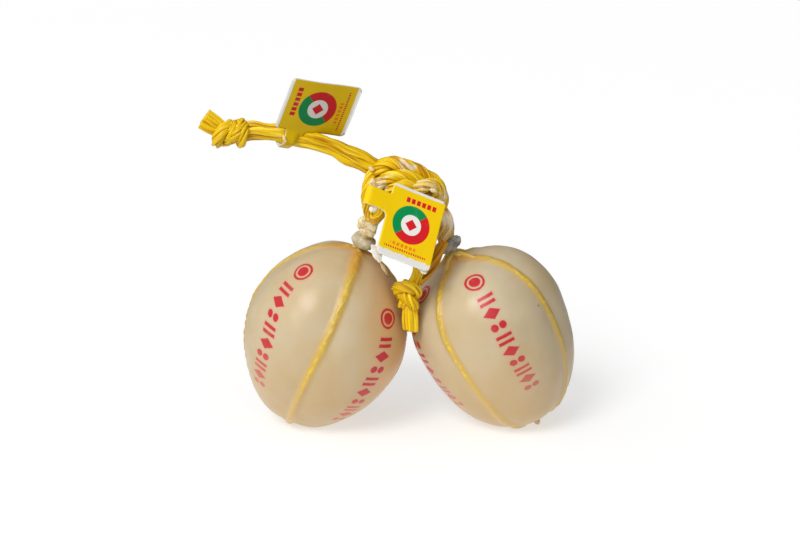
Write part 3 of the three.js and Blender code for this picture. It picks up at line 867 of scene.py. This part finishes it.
def cheese_matrix(cheese):
    """From a cheese's own frame, in millimetres, to the object's, in metres."""
    lean, nod = math.radians(cheese["lean"]), math.radians(cheese["nod"])
    axis = Vector((math.sin(lean) * math.cos(nod), math.sin(nod), math.cos(lean) * math.cos(nod)))
    side = Vector((math.cos(lean), 0, -math.sin(lean)))
    basis = Matrix((side, axis.cross(side), axis)).transposed().to_4x4()
    return Matrix.Translation(mm(*cheese["middle"])) @ basis @ Matrix.Scale(MM, 4)


# %% Where the strands lift off


def gather_point(cheese):
    """Where a strand reaches the bundle under the clip: distance from the axis, and height."""
    top = cheese["above"] + cheese["clip_height"] - CLIP_HEIGHT / 2 - GATHER_LENGTH
    return np.array((GATHER_RADIUS - TWINE_RADIUS, top + TWINE_RADIUS))


def tent(cheese, from_neck, strand):
    """Distance from the middle to a strand where it stands off the surface, on its way to the clip."""
    leaves = reach(cheese, np.array([STRAND_LEAVES]), np.array([strand]))[0]
    start = leaves * np.array((math.sin(STRAND_LEAVES), math.cos(STRAND_LEAVES)))
    line = gather_point(cheese) - start
    slope = np.sin(from_neck) * line[1] - np.cos(from_neck) * line[0]
    return (start[0] * line[1] - start[1] * line[0]) / np.where(np.abs(slope) < 1e-6, 1e-6, slope)


print("left gather point", np.round(gather_point(CHEESES["left"]), 1), "mm from the axis and up")

# %% [markdown]
# ## Print on the wax
# The red marks are printed down the middle of each lobe. A map gives millimetres across and along the
# column, and simple distance sums draw discs, bars and lozenges in it. The result is a distance to the
# ink's edge, so the same sum can give both a crisp mark and the soft pink rim where ink has spread.

# %% Printed marks
MARK_PITCH = 6.4
MARKS_START = 7.5
MARKS = 9
KINDS = 3.0  # bars, lozenge and dots take turns


def print_distance(recipe, u, v):
    """Signed distance, in millimetres, to the printed marks of a column."""
    def circle(x, y, radius):
        return recipe.math("SQRT", x ** 2 + y ** 2) - radius

    cell = (v - MARKS_START) / MARK_PITCH
    along = (recipe.math("FRACT", cell) - 0.5) * MARK_PITCH
    kind = recipe.math("FRACT", recipe.math("FLOOR", cell) / KINDS)
    wide, tall = abs(u), abs(along)
    bars = recipe.math("MAXIMUM", abs(tall - 1.5) - 0.75, wide - 3.7)
    lozenge = wide * 0.65 + tall - 2.7
    dots = circle(wide - 2.0, along, 1.7)
    marks = recipe.pick(recipe.math("LESS_THAN", kind, 0.2), lozenge, bars)
    marks = recipe.pick(recipe.math("GREATER_THAN", kind, 0.5), marks, dots)
    outside = recipe.math("MAXIMUM", cell * -1.0, cell - MARKS)
    marks = recipe.math("MAXIMUM", marks, outside * MARK_PITCH)
    rosette = recipe.math("MINIMUM", circle(u, v, 2.6), abs(circle(u, v, 4.1)) - 0.5)
    return recipe.math("MINIMUM", marks, rosette)


# %% [markdown]
# ## Wax
# The skin is a dip of milky wax over pale cheese. Light goes a little way in, so it is a subsurface
# finish with faint mottling. Towards the base it is painted darker and warmer, as shade, and it is painted
# warm where the two cheeses light each other. The twine's dye has bled into the wax beside it.

# %% Wax finish
WAX_LIT = colour(196, 181, 152)
WAX_DEEP = colour(190, 168, 128)
WAX_BASE_SHADE = colour(182, 146, 90)  # painted warm shade towards the base
WAX_TWIN_LIGHT = colour(212, 158, 92)  # painted light that its twin throws on the left cheese's side that faces it
WAX_GLOW = colour(194, 164, 104)
WAX_STAIN = colour(198, 166, 78)
WAX_FLECK = colour(228, 190, 18)
WAX_AMBER = colour(190, 128, 36)
SPECK = colour(96, 66, 30)
SPECK_PLACE = mm(57.4, -21.3, 63.2)  # one grain that stuck to the right cheese
INK = colour(186, 30, 42)
INK_HALO = colour(206, 150, 128)


def wax_colour(recipe, place, broad, marble):
    """The colour of the wax itself, with what the twine and the dip left in it."""
    base = recipe.mix(recipe.span(marble * 0.4 + broad * 0.9, 0.4, 0.95), WAX_LIT, WAX_DEEP)
    x, _, z = recipe.axes(place)
    # painted shade: darker and warmer towards the base
    base = recipe.mix(recipe.span(z, 0.07, 0.005, 0.0, 0.5), base, WAX_BASE_SHADE)
    # painted light: warm on the left cheese near where the two cheeses touch
    on_left = recipe.math("LESS_THAN", x, CONTACT_X * MM)
    base = recipe.mix(recipe.span(x, -0.026, -0.006, 0.0, 0.6) * on_left, base, WAX_TWIN_LIGHT)
    stain = recipe.attribute("stain")
    flecks = recipe.noise(place, 520.0, roughness=0.6)
    base = recipe.mix(recipe.span(stain, 0.02, 0.4), base, WAX_GLOW)
    base = recipe.mix(recipe.span(flecks * 0.5 + stain, 0.6, 0.95), base, WAX_STAIN)
    bright = recipe.span(flecks, 0.5, 0.62) * recipe.span(stain, 0.45, 0.8) * 0.8
    base = recipe.mix(bright, base, WAX_FLECK)
    amber = recipe.attribute("collar") * recipe.span(marble, 0.25, 0.6, 0.45, 1.0)
    base = recipe.mix(amber, base, WAX_AMBER)
    grain = recipe.add("VectorMath", {0: place, 1: SPECK_PLACE}, "Value", operation="DISTANCE")
    return recipe.mix(recipe.span(grain, 0.0007, 0.0004, 0.0, 0.7), base, SPECK)


def ink_over(recipe, base, place, marble):
    """The red print over a colour, paler towards the base and where the wax is marbled."""
    u, v, _ = recipe.axes(recipe.add("UVMap", uv_map="print"))
    distance = recipe.noise(place, 1400.0, detail=2.0) * 0.5 + print_distance(recipe, u, v)
    fade = recipe.span(v, 75.0, 25.0, 0.55, 1.0)
    base = recipe.mix(recipe.span(distance, 1.7, 0.2, 0.0, 0.45) * fade, base, INK_HALO)
    ink = recipe.span(distance, 0.5, 0.1) * fade * recipe.span(marble, 0.1, 0.5, 0.7, 1.0)
    return recipe.mix(ink, base, INK)


def wax_finish():
    recipe = Recipe(bpy.data.materials.new("printed_wax"))
    place = recipe.place()
    broad = recipe.noise(place, 38.0, detail=2.0)
    marble = recipe.noise(place, 130.0, detail=4.0, roughness=0.6)
    base = ink_over(recipe, wax_colour(recipe, place, broad, marble), place, marble)
    skin = recipe.bump(marble, 0.00012, 0.35, under=recipe.bump(broad, 0.0012, 0.4))
    return recipe.finish(Base_Color=base, Roughness=marble * 0.12 + 0.3, Normal=skin, IOR=1.44,
                         Subsurface_Weight=0.5, Subsurface_Radius=(1.0, 0.6, 0.3), Subsurface_Scale=0.005)


wax_skin = wax_finish()
print("finish:", wax_skin.name)

# %% [markdown]
# ## Dipping a cheese
# The wax is thicker over the twine and pulls webs between a strand and the neck. Each of these is a
# small height that falls off with the distance from the nearest strand, added to the pressed surface.
# Slow, uneven swells keep it from looking turned on a lathe.

# %% The dipped surface
LEVELS = (-0.6, 0.6, 0.92)  # near the base, above the middle and near the neck, as cosines
FILM_HEIGHT = (1.35, 1.15, 1.4)  # over a strand, at these levels
FILM_WIDTH = (1.5, 1.5, 2.1)
WEB_WIDTH = 1.9
WEB_COVER = 0.5
STAIN_WIDTH = (1.5, 3.4)  # of the dyed wax on the twine, and of the glow beside it
STAIN_LEVELS = (-0.95, -0.5, 0.1)
STAIN_STRENGTH = (0.38, 0.62, 1.0)
COLLAR_WIDTH = 3.6
COLLAR_FADES = (13, 34)  # degrees from the neck between which the amber wax round the clip fades away
COLLAR_STRENGTH = (0.75, 0.0)
SWELL = 0.4
ROUGH_BALL = 40  # radius of the ball of noise that makes the wax uneven


def uneven(points, size, seed):
    """Slow noise at some points in millimetres, about -1 to 1."""
    shift = Vector((seed * 11.3, seed * 5.9, seed * 2.7))
    return np.array([noise.noise(Vector(p) / size + shift) for p in points])


def wax_surface(cheese, seed, from_neck, around):
    """The dipped surface: points in the cheese's own frame, their stain from the twine, and the collar's."""
    distance, nearest = strand_distance(cheese, from_neck, around)
    out = reach(cheese, from_neck, around)
    height = np.cos(from_neck)
    direction = np.stack([np.sin(from_neck) * np.cos(around), np.sin(from_neck) * np.sin(around), height],
                         axis=1)

    def rough(size, number):
        return uneven(direction * ROUGH_BALL, size, seed + number)

    near = falls_off(distance, np.interp(height, LEVELS, FILM_WIDTH) * (1 + 0.15 * rough(5, 7)))
    film = np.interp(height, LEVELS, FILM_HEIGHT) * (1 + 0.3 * rough(2.2, 5))
    out = out + SWELL * (rough(15, 0) + 0.4 * rough(7, 3)) * (1 - near) + film * near
    strands = strand_angles(cheese, np.array([STRAND_LEAVES]))[:, 0]
    for number, strand in enumerate(strands):
        web = np.where(from_neck < STRAND_LEAVES, tent(cheese, from_neck, strand) - out + WEB_COVER, 0)
        out = out + np.clip(web, 0, None) * falls_off(distance, WEB_WIDTH) * (nearest == number)
    core, glow = (falls_off(distance, width) for width in STAIN_WIDTH)
    stain = (0.75 * core + 0.25 * glow) * np.interp(height, STAIN_LEVELS, STAIN_STRENGTH)
    collar = falls_off(distance, COLLAR_WIDTH) * np.interp(np.degrees(from_neck), COLLAR_FADES, COLLAR_STRENGTH)
    return direction * out[:, None], stain, collar


# %% [markdown]
# The print runs down each lobe on a line of its own, a little askew, as a hand-held stamp leaves it.
# Every corner of every face gets its place on that line as a map. Corners, and not points, carry it, so
# that it can jump from one lobe to the next under the twine without smearing.

# %% Print map
# Where the print runs, as (degrees from the neck, degrees round the axis), for the lobes that show it
PRINT_COLUMNS = {
    "left": {3: ((43, -144), (55, -143), (68, -140), (95, -132), (135, -135)),
             0: ((52, -44), (64, -46), (77, -48), (104, -51), (144, -47))},
    "right": {0: ((41, -76), (54, -75), (67, -77), (97, -77), (134, -73)),
              3: ((38, -157), (69, -163), (99, -157), (138, -146))},
}
PRINT_STARTS = 66  # degrees from the neck, on the other lobes


def read(rows, name, width=1, kind=float):
    """One value of every row of a mesh, as an array."""
    values = np.empty(len(rows) * width, dtype=kind)
    rows.foreach_get(name, values)
    return values.reshape(-1, width) if width > 1 else values


def print_map(side, number, from_neck, around):
    """Millimetres across and along the print column of a lobe."""
    cheese = CHEESES[side]
    if number in PRINT_COLUMNS[side]:
        degrees, middles = np.array(PRINT_COLUMNS[side][number]).T
        middle = np.radians(np.interp(np.degrees(from_neck), degrees, middles))
        start = math.radians(degrees[0])
    else:
        strands = strand_angles(cheese, from_neck)
        width = (strands[(number + 1) % 4] - strands[number]) % (2 * math.pi)
        middle = strands[number] + width / 2
        start = math.radians(PRINT_STARTS)
    across = (around - middle + math.pi) % (2 * math.pi) - math.pi
    distance = reach(cheese, from_neck, middle)
    return across * distance * np.sin(from_neck), (from_neck - start) * distance


def corner_prints(mesh, side, from_neck, around):
    """The print map of every corner of a ball's faces, by the lobe that the face is on."""
    x, y, z = read(mesh.polygons, "center", 3).T
    lobes, _ = lobe_at(CHEESES[side], np.arctan2(np.hypot(x, y), z), np.arctan2(y, x))
    lobes = np.repeat(lobes, read(mesh.polygons, "loop_total", kind=np.int32))
    corners = read(mesh.loops, "vertex_index", kind=np.int32)
    prints = np.zeros((len(corners), 2))
    for number in range(4):
        here = lobes == number
        at = corners[here]
        prints[here] = np.stack(print_map(side, number, from_neck[at], around[at]), axis=1)
    return prints


# %% [markdown]
# ## Modelling a cheese
# The body starts as a bmesh sphere, whose points are moved to the dipped surface. Where the two cheeses
# press on each other, and where each stands, the points are held back at a plane, which leaves the flat
# spots. When a cheese was lifted from the dip, a last drop of wax ran to its base and set there.

# %% Body
BODY_AROUND = 256
BODY_RINGS = 160
NUB_RADIUS = 1.7
NUB_OFFSET = 9.6
NUB_AROUND = math.radians(-81)
BARE = (0, -40)  # a place on the print map that carries no ink


def add_nub(bm, cheese):
    """The drop of wax that set at the base."""
    tip = cheese["below"] - BASE_DIMPLE + cheese["nub"]
    place = Vector((NUB_OFFSET * math.cos(NUB_AROUND), NUB_OFFSET * math.sin(NUB_AROUND), 2 * NUB_RADIUS - tip))
    matrix = cheese_matrix(cheese) @ Matrix.Translation(place) @ Matrix.Diagonal((1, 1, 2, 1))
    made = bmesh.ops.create_icosphere(bm, subdivisions=3, radius=NUB_RADIUS, matrix=matrix)
    print_layer = bm.loops.layers.uv["print"]
    for loop in {loop for vert in made["verts"] for loop in vert.link_loops}:
        loop[print_layer].uv = BARE


def make_cheese(side, seed):
    cheese = CHEESES[side]
    bm = bmesh.new()
    bmesh.ops.create_uvsphere(bm, u_segments=BODY_AROUND, v_segments=BODY_RINGS, radius=1)
    mesh = to_mesh("cheese_" + side, bm)
    ball = read(mesh.vertices, "co", 3)
    from_neck = np.arccos(np.clip(ball[:, 2], -1, 1))
    around = np.arctan2(ball[:, 1], ball[:, 0])
    prints = corner_prints(mesh, side, from_neck, around)
    points, stain, collar = wax_surface(cheese, seed, from_neck, around)
    matrix = np.array(cheese_matrix(cheese))
    placed = points @ matrix[:3, :3].T + matrix[:3, 3]
    sign = 1 if side == "right" else -1
    contact = (CONTACT_X + sign * CONTACT_GAP / 2) * MM
    placed[:, 0] = sign * np.maximum(sign * placed[:, 0], sign * contact)
    placed[:, 2] = np.maximum(placed[:, 2], 0)
    mesh.vertices.foreach_set("co", placed.ravel())
    for name, values in (("stain", stain), ("collar", collar)):
        mesh.attributes.new(name, "FLOAT", "POINT").data.foreach_set("value", values)
    mesh.uv_layers.new(name="print").data.foreach_set("uv", prints.ravel())
    bm = bmesh.new()
    bm.from_mesh(mesh)
    bpy.data.meshes.remove(mesh)
    if cheese["nub"]:
        add_nub(bm, cheese)
    return finish_piece("cheese_" + side, bm, [wax_skin], ["cheese_" + side])


make_cheese("left", 1)
make_cheese("right", 2)

# %% [markdown]
# ## Twine round the cheeses
# Four strands of thin two-ply twine run from a crossing under the base up to the clip. Wax covers them
# more and more towards the base, so their yellow pales on the way down.

# %% Harness
STRAND_POINTS = 26
LAY_LENGTH = 24 * MM  # the way along the twine in which its plies turn once
SUNK = (0.5, 0.0)  # how deep a strand lies in the cheese, near the base and near the neck
waxed_twine_finish = twine_finish("waxed_twine", colour(198, 158, 66), colour(212, 178, 86),
                                  colour(226, 204, 138), gloss=0.2)


def make_harness(side, seed):
    cheese = CHEESES[side]
    matrix = cheese_matrix(cheese)
    inward, top = gather_point(cheese)
    thick = TWINE_RADIUS * MM
    for number in range(4):
        from_neck = np.linspace(math.pi - 0.03, STRAND_LEAVES, STRAND_POINTS)
        around = strand_angles(cheese, from_neck)[number]
        out = reach(cheese, from_neck, around) - np.interp(np.cos(from_neck), (-0.6, 0.8), SUNK)
        level = out * np.sin(from_neck)
        local = np.stack([level * np.cos(around), level * np.sin(around), out * np.cos(from_neck)], axis=1)
        last = around[-1]
        end = [(inward * math.cos(last), inward * math.sin(last), top),
               (0.6 * math.cos(last), 0.6 * math.sin(last), cheese["above"] + cheese["clip_height"])]
        points = [matrix @ Vector(p) for p in (*local, *end)]
        lay_rope(points, 2, 1.75 * thick, 1.5 * thick, 0.22 * thick, turns=route_length(points) / LAY_LENGTH,
                 step=ROUTE_STEP, sides=14, seed=seed + 2 * number, ridge=0.14, wax=0.4, wax_end=0.15)
    for vert in strands.verts:
        vert.co.z = max(vert.co.z, 0)
    return finish_strands("twine_" + side, waxed_twine_finish, ["twine_" + side])


make_harness("left", 40)
make_harness("right", 50)

# %% [markdown]
# ## Clips
# A crimped ring closes each neck. It is spun from a round section, longer below where the wax has run
# down, then pressed uneven, as the closing tool leaves it, and greyed by the wax. The right one is
# painted darker still, partly its crumpled grey and partly painted shade.

# %% Clip finish and shape
CLIP_RADIUS = 5.5
CLIP_HOLE = 1.2
CLIP_RUN = 1.35  # how much longer the ring is below its middle
CLIP_LOOK = dict(cloud=(330.0, 4.0), fade=(0.35, 0.7), rough=(0.3, 0.2), relief=(0.0003, 0.5),
                 Subsurface_Weight=0.25, Subsurface_Scale=0.002)
# dark spots: sparse on the left clip, and dense on the right clip, where they are partly painted shade
CLIP_SPOTS_AND_SHADE = (colour(70, 68, 70), 700.0, 0.58, 0.72)


def make_clip(side, finish, crumple, seed):
    cheese = CHEESES[side]
    bm = bmesh.new()
    middle = (CLIP_RADIUS + CLIP_HOLE) / 2
    section = Matrix.Translation((middle, 0, 0)) @ Matrix.Rotation(math.pi / 2, 4, "X")
    made = bmesh.ops.create_circle(bm, segments=28, radius=1, matrix=section)
    for vert in made["verts"]:
        vert.co.x = middle + (vert.co.x - middle) * (CLIP_RADIUS - CLIP_HOLE) / 2
        vert.co.z *= CLIP_HEIGHT / 2 * (CLIP_RUN if vert.co.z < 0 else 1.0)
    bmesh.ops.spin(bm, geom=bm.edges[:] + bm.verts[:], cent=(0, 0, 0), axis=(0, 0, 1), dvec=(0, 0, 0),
                   angle=2 * math.pi, steps=72, use_merge=True)
    for vert in bm.verts:
        rough = noise.noise(vert.co * 0.35 + Vector((seed, 0, 0))) + 0.5 * noise.noise(vert.co * 0.9)
        crimp = 0.25 * math.cos(6 * math.atan2(vert.co.y, vert.co.x))
        vert.co *= 1 + crumple * (rough + crimp)
    lift = Matrix.Translation((0, 0, cheese["above"] + cheese["clip_height"]))
    bmesh.ops.transform(bm, matrix=cheese_matrix(cheese) @ lift, verts=bm.verts)
    return finish_piece("clip_" + side, bm, [finish], ["clip_" + side])


smooth_clip = cloudy_finish("waxed_clip", colour(176, 164, 134), colour(206, 194, 162),
                            spots=(*CLIP_SPOTS_AND_SHADE, 0.15), **CLIP_LOOK)
# the right clip's darker grey and dense dark spots are partly its crumpled grey and partly painted shade
crumpled_clip_painted_shade = cloudy_finish("crumpled_clip_painted_shade", colour(128, 126, 124), colour(176, 170, 162),
                              spots=(*CLIP_SPOTS_AND_SHADE, 0.8), **CLIP_LOOK)
make_clip("left", smooth_clip, 0.08, 3)
make_clip("right", crumpled_clip_painted_shade, 0.3, 8)

# %% [markdown]
# ## The main knot
# The fat strands of the main knot follow their real routes over a heart of smaller turns. Each strand
# is five split tapes laid round each other. Wax from the dip has set in patches on them.

# %% Strands of the knot
KNOT_STRANDS = (  # radius in millimetres, wax soaked in, and route
    (3.3, 0.0, ((-13, 4, 113), (-13.8, -5, 120.5), (-8.3, -6, 124.1), (0.5, -6, 122.3), (7.1, -5, 118.2),
                (12.2, -4, 114), (13.8, -2, 108.5), (13.5, 1, 102.5))),
    (2.9, 0.0, ((-15, -7, 108), (-14.4, -10, 114), (-10, -11, 118.5), (-3.9, -10.5, 119.8), (2.7, -9, 117.8),
                (8.4, -6, 113))),
    (2.7, 0.0, ((-11, -8, 105), (-9.8, -11.5, 111), (-6, -12.5, 115), (-1, -12, 116.3), (5, -9.5, 113.5))),
    (2.8, 0.16, ((-3, -9.5, 108.5), (2.5, -12, 113.5), (8.5, -10.5, 116), (12.8, -7.5, 113.4), (15.2, -3, 107),
                 (13.8, 2, 100))),
    (2.4, 0.0, ((-17, -7.5, 99), (-18.3, -8.5, 105), (-18.6, -8.5, 112), (-16.8, -6, 118.5), (-11, -1, 121))),
    (2.2, 0.1, ((-18, -7, 101.5), (-15.4, -10, 99.6), (-12.3, -11, 102.5), (-12.5, -9.5, 107))),
    (3.2, 0.0, ((-14, 2, 103), (-11, 8, 111), (-2, 10, 116.5), (8, 8.5, 114), (13.5, 4, 105))),
)
KNOT_WAX = (  # where wax has set on the knot: place, radius in millimetres and how much
    ((-3.0, -9.2, 125.2), 3.4, 0.6), ((2.0, -9.2, 123.6), 3.0, 0.55), ((-17.1, -7.0, 122.3), 2.0, 0.5),
    ((-14.4, -12.5, 115.6), 3.0, 0.55), ((-10.0, -13.0, 115.0), 3.0, 0.4), ((-12.2, -13.0, 119.6), 2.6, 0.5),
    ((-8.0, -13.5, 120.6), 2.2, 0.35), ((6.0, -12.5, 117.0), 5.0, 0.28), ((10.6, -11.0, 114.0), 3.0, 0.3),
    ((15.6, -7.0, 109.8), 4.0, 0.4), ((-17.5, -11.0, 101.0), 2.5, 0.35),
)
TAPES = 5
TAPES_TURN_IN = 28 * MM
print("main knot:", len(KNOT_STRANDS), "strands of", TAPES, "tapes and", len(KNOT_WAX), "patches of wax")

# %% [markdown]
# Between the strands one can see into the knot, so its heart is filled with seven closed turns, each
# tilted at random. The seed is fixed, so that the heart is the same every time.

# %% Lay the knot
HEART_AT = Vector((-1, -1, 110))
HEART_RADII = Vector((13.5, 7.5, 9))
HEART_TURNS = 7


def heart_turn(seed):
    """One hidden turn round the knot's heart, tilted at random."""
    tilt = Matrix.Identity(3)
    for low, high, axis in ((-0.7, 0.7, "X"), (0, 3.1, "Z"), (-0.5, 0.5, "Y")):
        tilt = tilt @ Matrix.Rotation(random.uniform(low, high), 3, axis)
    ways = [tilt @ Vector((math.cos(a), 0, math.sin(a))) for a in (2 * math.pi * n / 12.5 for n in range(13))]
    points = [(HEART_AT + way * HEART_RADII) * MM for way in ways]
    lay_rope(points, 3, 2.6 * MM, 2.1 * MM, 1.4 * MM, turns=2.5, seed=seed, sides=14, step=1.2 * MM)


random.seed(9)
for number in range(HEART_TURNS):
    heart_turn(50 + 3 * number)
wax_spots.extend((mm(*place), radius * MM, much) for place, radius, much in KNOT_WAX)
for number, (radius, wax, route) in enumerate(KNOT_STRANDS):
    points = [mm(*p) for p in route]
    radius *= MM
    turns = route_length(points) / TAPES_TURN_IN
    lay_rope(points, TAPES, 0.95 * radius, 0.72 * radius, 0.6 * radius, turns, start=number,
             seed=80 + 5 * number, sides=20, ridge=0.2, wax=wax)
finish_strands("main_knot", rope_finish, ["main_knot"])
wax_spots.clear()

# %% [markdown]
# ## Necks
# Below the knot the rope spreads into the four strands of each cheese. Here the dip has left the most
# wax: on the left a crumbly cream collar, on the right a pale bundle that narrows to the clip.

# %% Neck ropes
neck_finish = twine_finish("waxed_rope", colour(176, 116, 34), colour(218, 184, 106), colour(238, 222, 180),
                           gloss=0.3)
NECKS = {
    "left": dict(radius=2.5, lay=2.0, turns=0.4, wax=0.45, route=((-16.6, -5, 97), (-15, -6, 103))),
    "right": dict(radius=2.6, lay=2.2, turns=0.5, wax=0.28, route=((16.4, 0, 95.5), (10.5, 0, 104))),
}
NECK_SPOT = (mm(19.5, -3, 97), 4.5 * MM, 0.5)


def make_neck(side, seed):
    cheese = CHEESES[side]
    neck = NECKS[side]
    clip_at = cheese["above"] + cheese["clip_height"]
    foot = [cheese_matrix(cheese) @ Vector((0, 0, clip_at + h)) for h in (-CLIP_HEIGHT / 2, CLIP_HEIGHT * 0.6)]
    route = [*foot, *(mm(*p) for p in neck["route"])]
    width = 1.6 * neck["radius"] * MM

    def narrow(share):
        return 0.55 + 0.45 * smoothstep(0.08, 0.28, share) - 0.2 * smoothstep(0.5, 1, share)

    lay_rope(route, 4, width, 0.8 * width, neck["lay"] * MM, turns=neck["turns"], seed=seed, sides=24,
             ridge=0.24, wax=neck["wax"], widths=narrow)
    return finish_strands("neck_" + side, neck_finish, ["neck_rope_" + side])


make_neck("left", 110)
wax_spots.append(NECK_SPOT)
make_neck("right", 120)
wax_spots.clear()

# %% [markdown]
# ## Crumbs and films of wax
# Where the wax on the rope is thickest it has cracked loose, and sits in soft pale flakes: by the arm of
# the front card, round the left neck, behind that card's lower corner, and beside the left cheese's neck.

# %% Loose wax
AHEAD = (0, -1, 0.2)
CARD_FACES = (0.383, -0.784, 0.489)
SHOULDER = (0.8, -0.1, 0.55)
FLAKES = (
    # place, half sizes across, deep and high, turn in degrees, and where the flat side faces
    ((-16.1, -13.2, 116.9), (1.7, 0.7, 2.5), 4, AHEAD), ((-16.5, -8.4, 122.2), (1.6, 0.6, 0.7), -40, AHEAD),
    ((10.6, -13.1, 113.8), (1.7, 0.7, 1.0), -20, AHEAD),
    ((-15.4, -26.8, 109.8), (2.6, 0.5, 1.5), 30, CARD_FACES),
    ((-19.6, -8.0, 98.2), (3.2, 1.6, 2.4), 20, AHEAD), ((-17.0, -8.8, 96.4), (3.2, 1.6, 2.6), -30, AHEAD),
    ((-20.2, -6.8, 95.4), (2.6, 1.6, 2.8), 10, AHEAD), ((-18.2, -8.0, 93.6), (3.4, 1.6, 2.2), 0, AHEAD),
    ((-14.8, -8.2, 98.6), (2.0, 1.4, 2.2), 40, AHEAD), ((-10.7, -5.1, 74.5), (1.5, 0.7, 3.8), 0, SHOULDER),
    ((-14.2, -36.4, 92.4), (1.9, 0.35, 4.0), 16, CARD_FACES),
    ((6.2, -32.2, 83.7), (1.7, 0.5, 2.0), 16, CARD_FACES), ((-54.3, -10.4, 136.5), (0.7, 0.4, 1.8), 18, AHEAD),
)
FLAKE_LOOK = dict(cloud=(420.0, 3.0), fade=(0.35, 0.75), rough=(0.3, 0.2), relief=(0.0004, 0.5),
                  Subsurface_Weight=0.4, Subsurface_Radius=(1.0, 0.8, 0.6), Subsurface_Scale=0.002)
FLAKE_BITS = (colour(206, 152, 40), 760.0, 0.6, 0.7, 0.8)  # shreds of twine in the crumbs


def add_flake(bm, place, size, turn, facing, seed):
    """One soft flake: a squashed ball, a little uneven, with its flat side turned to where it faces."""
    middle = mm(*place)
    matrix = Matrix.Translation(middle) @ Vector(facing).to_track_quat("-Y", "Z").to_matrix().to_4x4() \
        @ Matrix.Rotation(math.radians(-turn), 4, "Y") @ Matrix.Diagonal((*(s * MM for s in size), 1))
    made = bmesh.ops.create_icosphere(bm, subdivisions=4, radius=1, matrix=matrix)
    shift = Vector((seed * 3.1, seed * 1.7, 0))
    for vert in made["verts"]:
        rough = noise.noise(vert.co * 420 + shift) + 0.4 * noise.noise(vert.co * 1100 + shift)
        vert.co += (vert.co - middle) * rough * 0.45
    for face in {face for vert in made["verts"] for face in vert.link_faces}:
        face.material_index = 1 if facing == CARD_FACES else 0


bm = bmesh.new()
for number, flake in enumerate(FLAKES):
    add_flake(bm, *flake, number)
crumbs = cloudy_finish("wax_crumbs", colour(214, 190, 138), colour(230, 216, 184), spots=FLAKE_BITS,
                       **FLAKE_LOOK)
films = cloudy_finish("wax_films", colour(220, 212, 192), colour(236, 232, 222), **FLAKE_LOOK)
finish_piece("wax_flakes", bm, [crumbs, films])
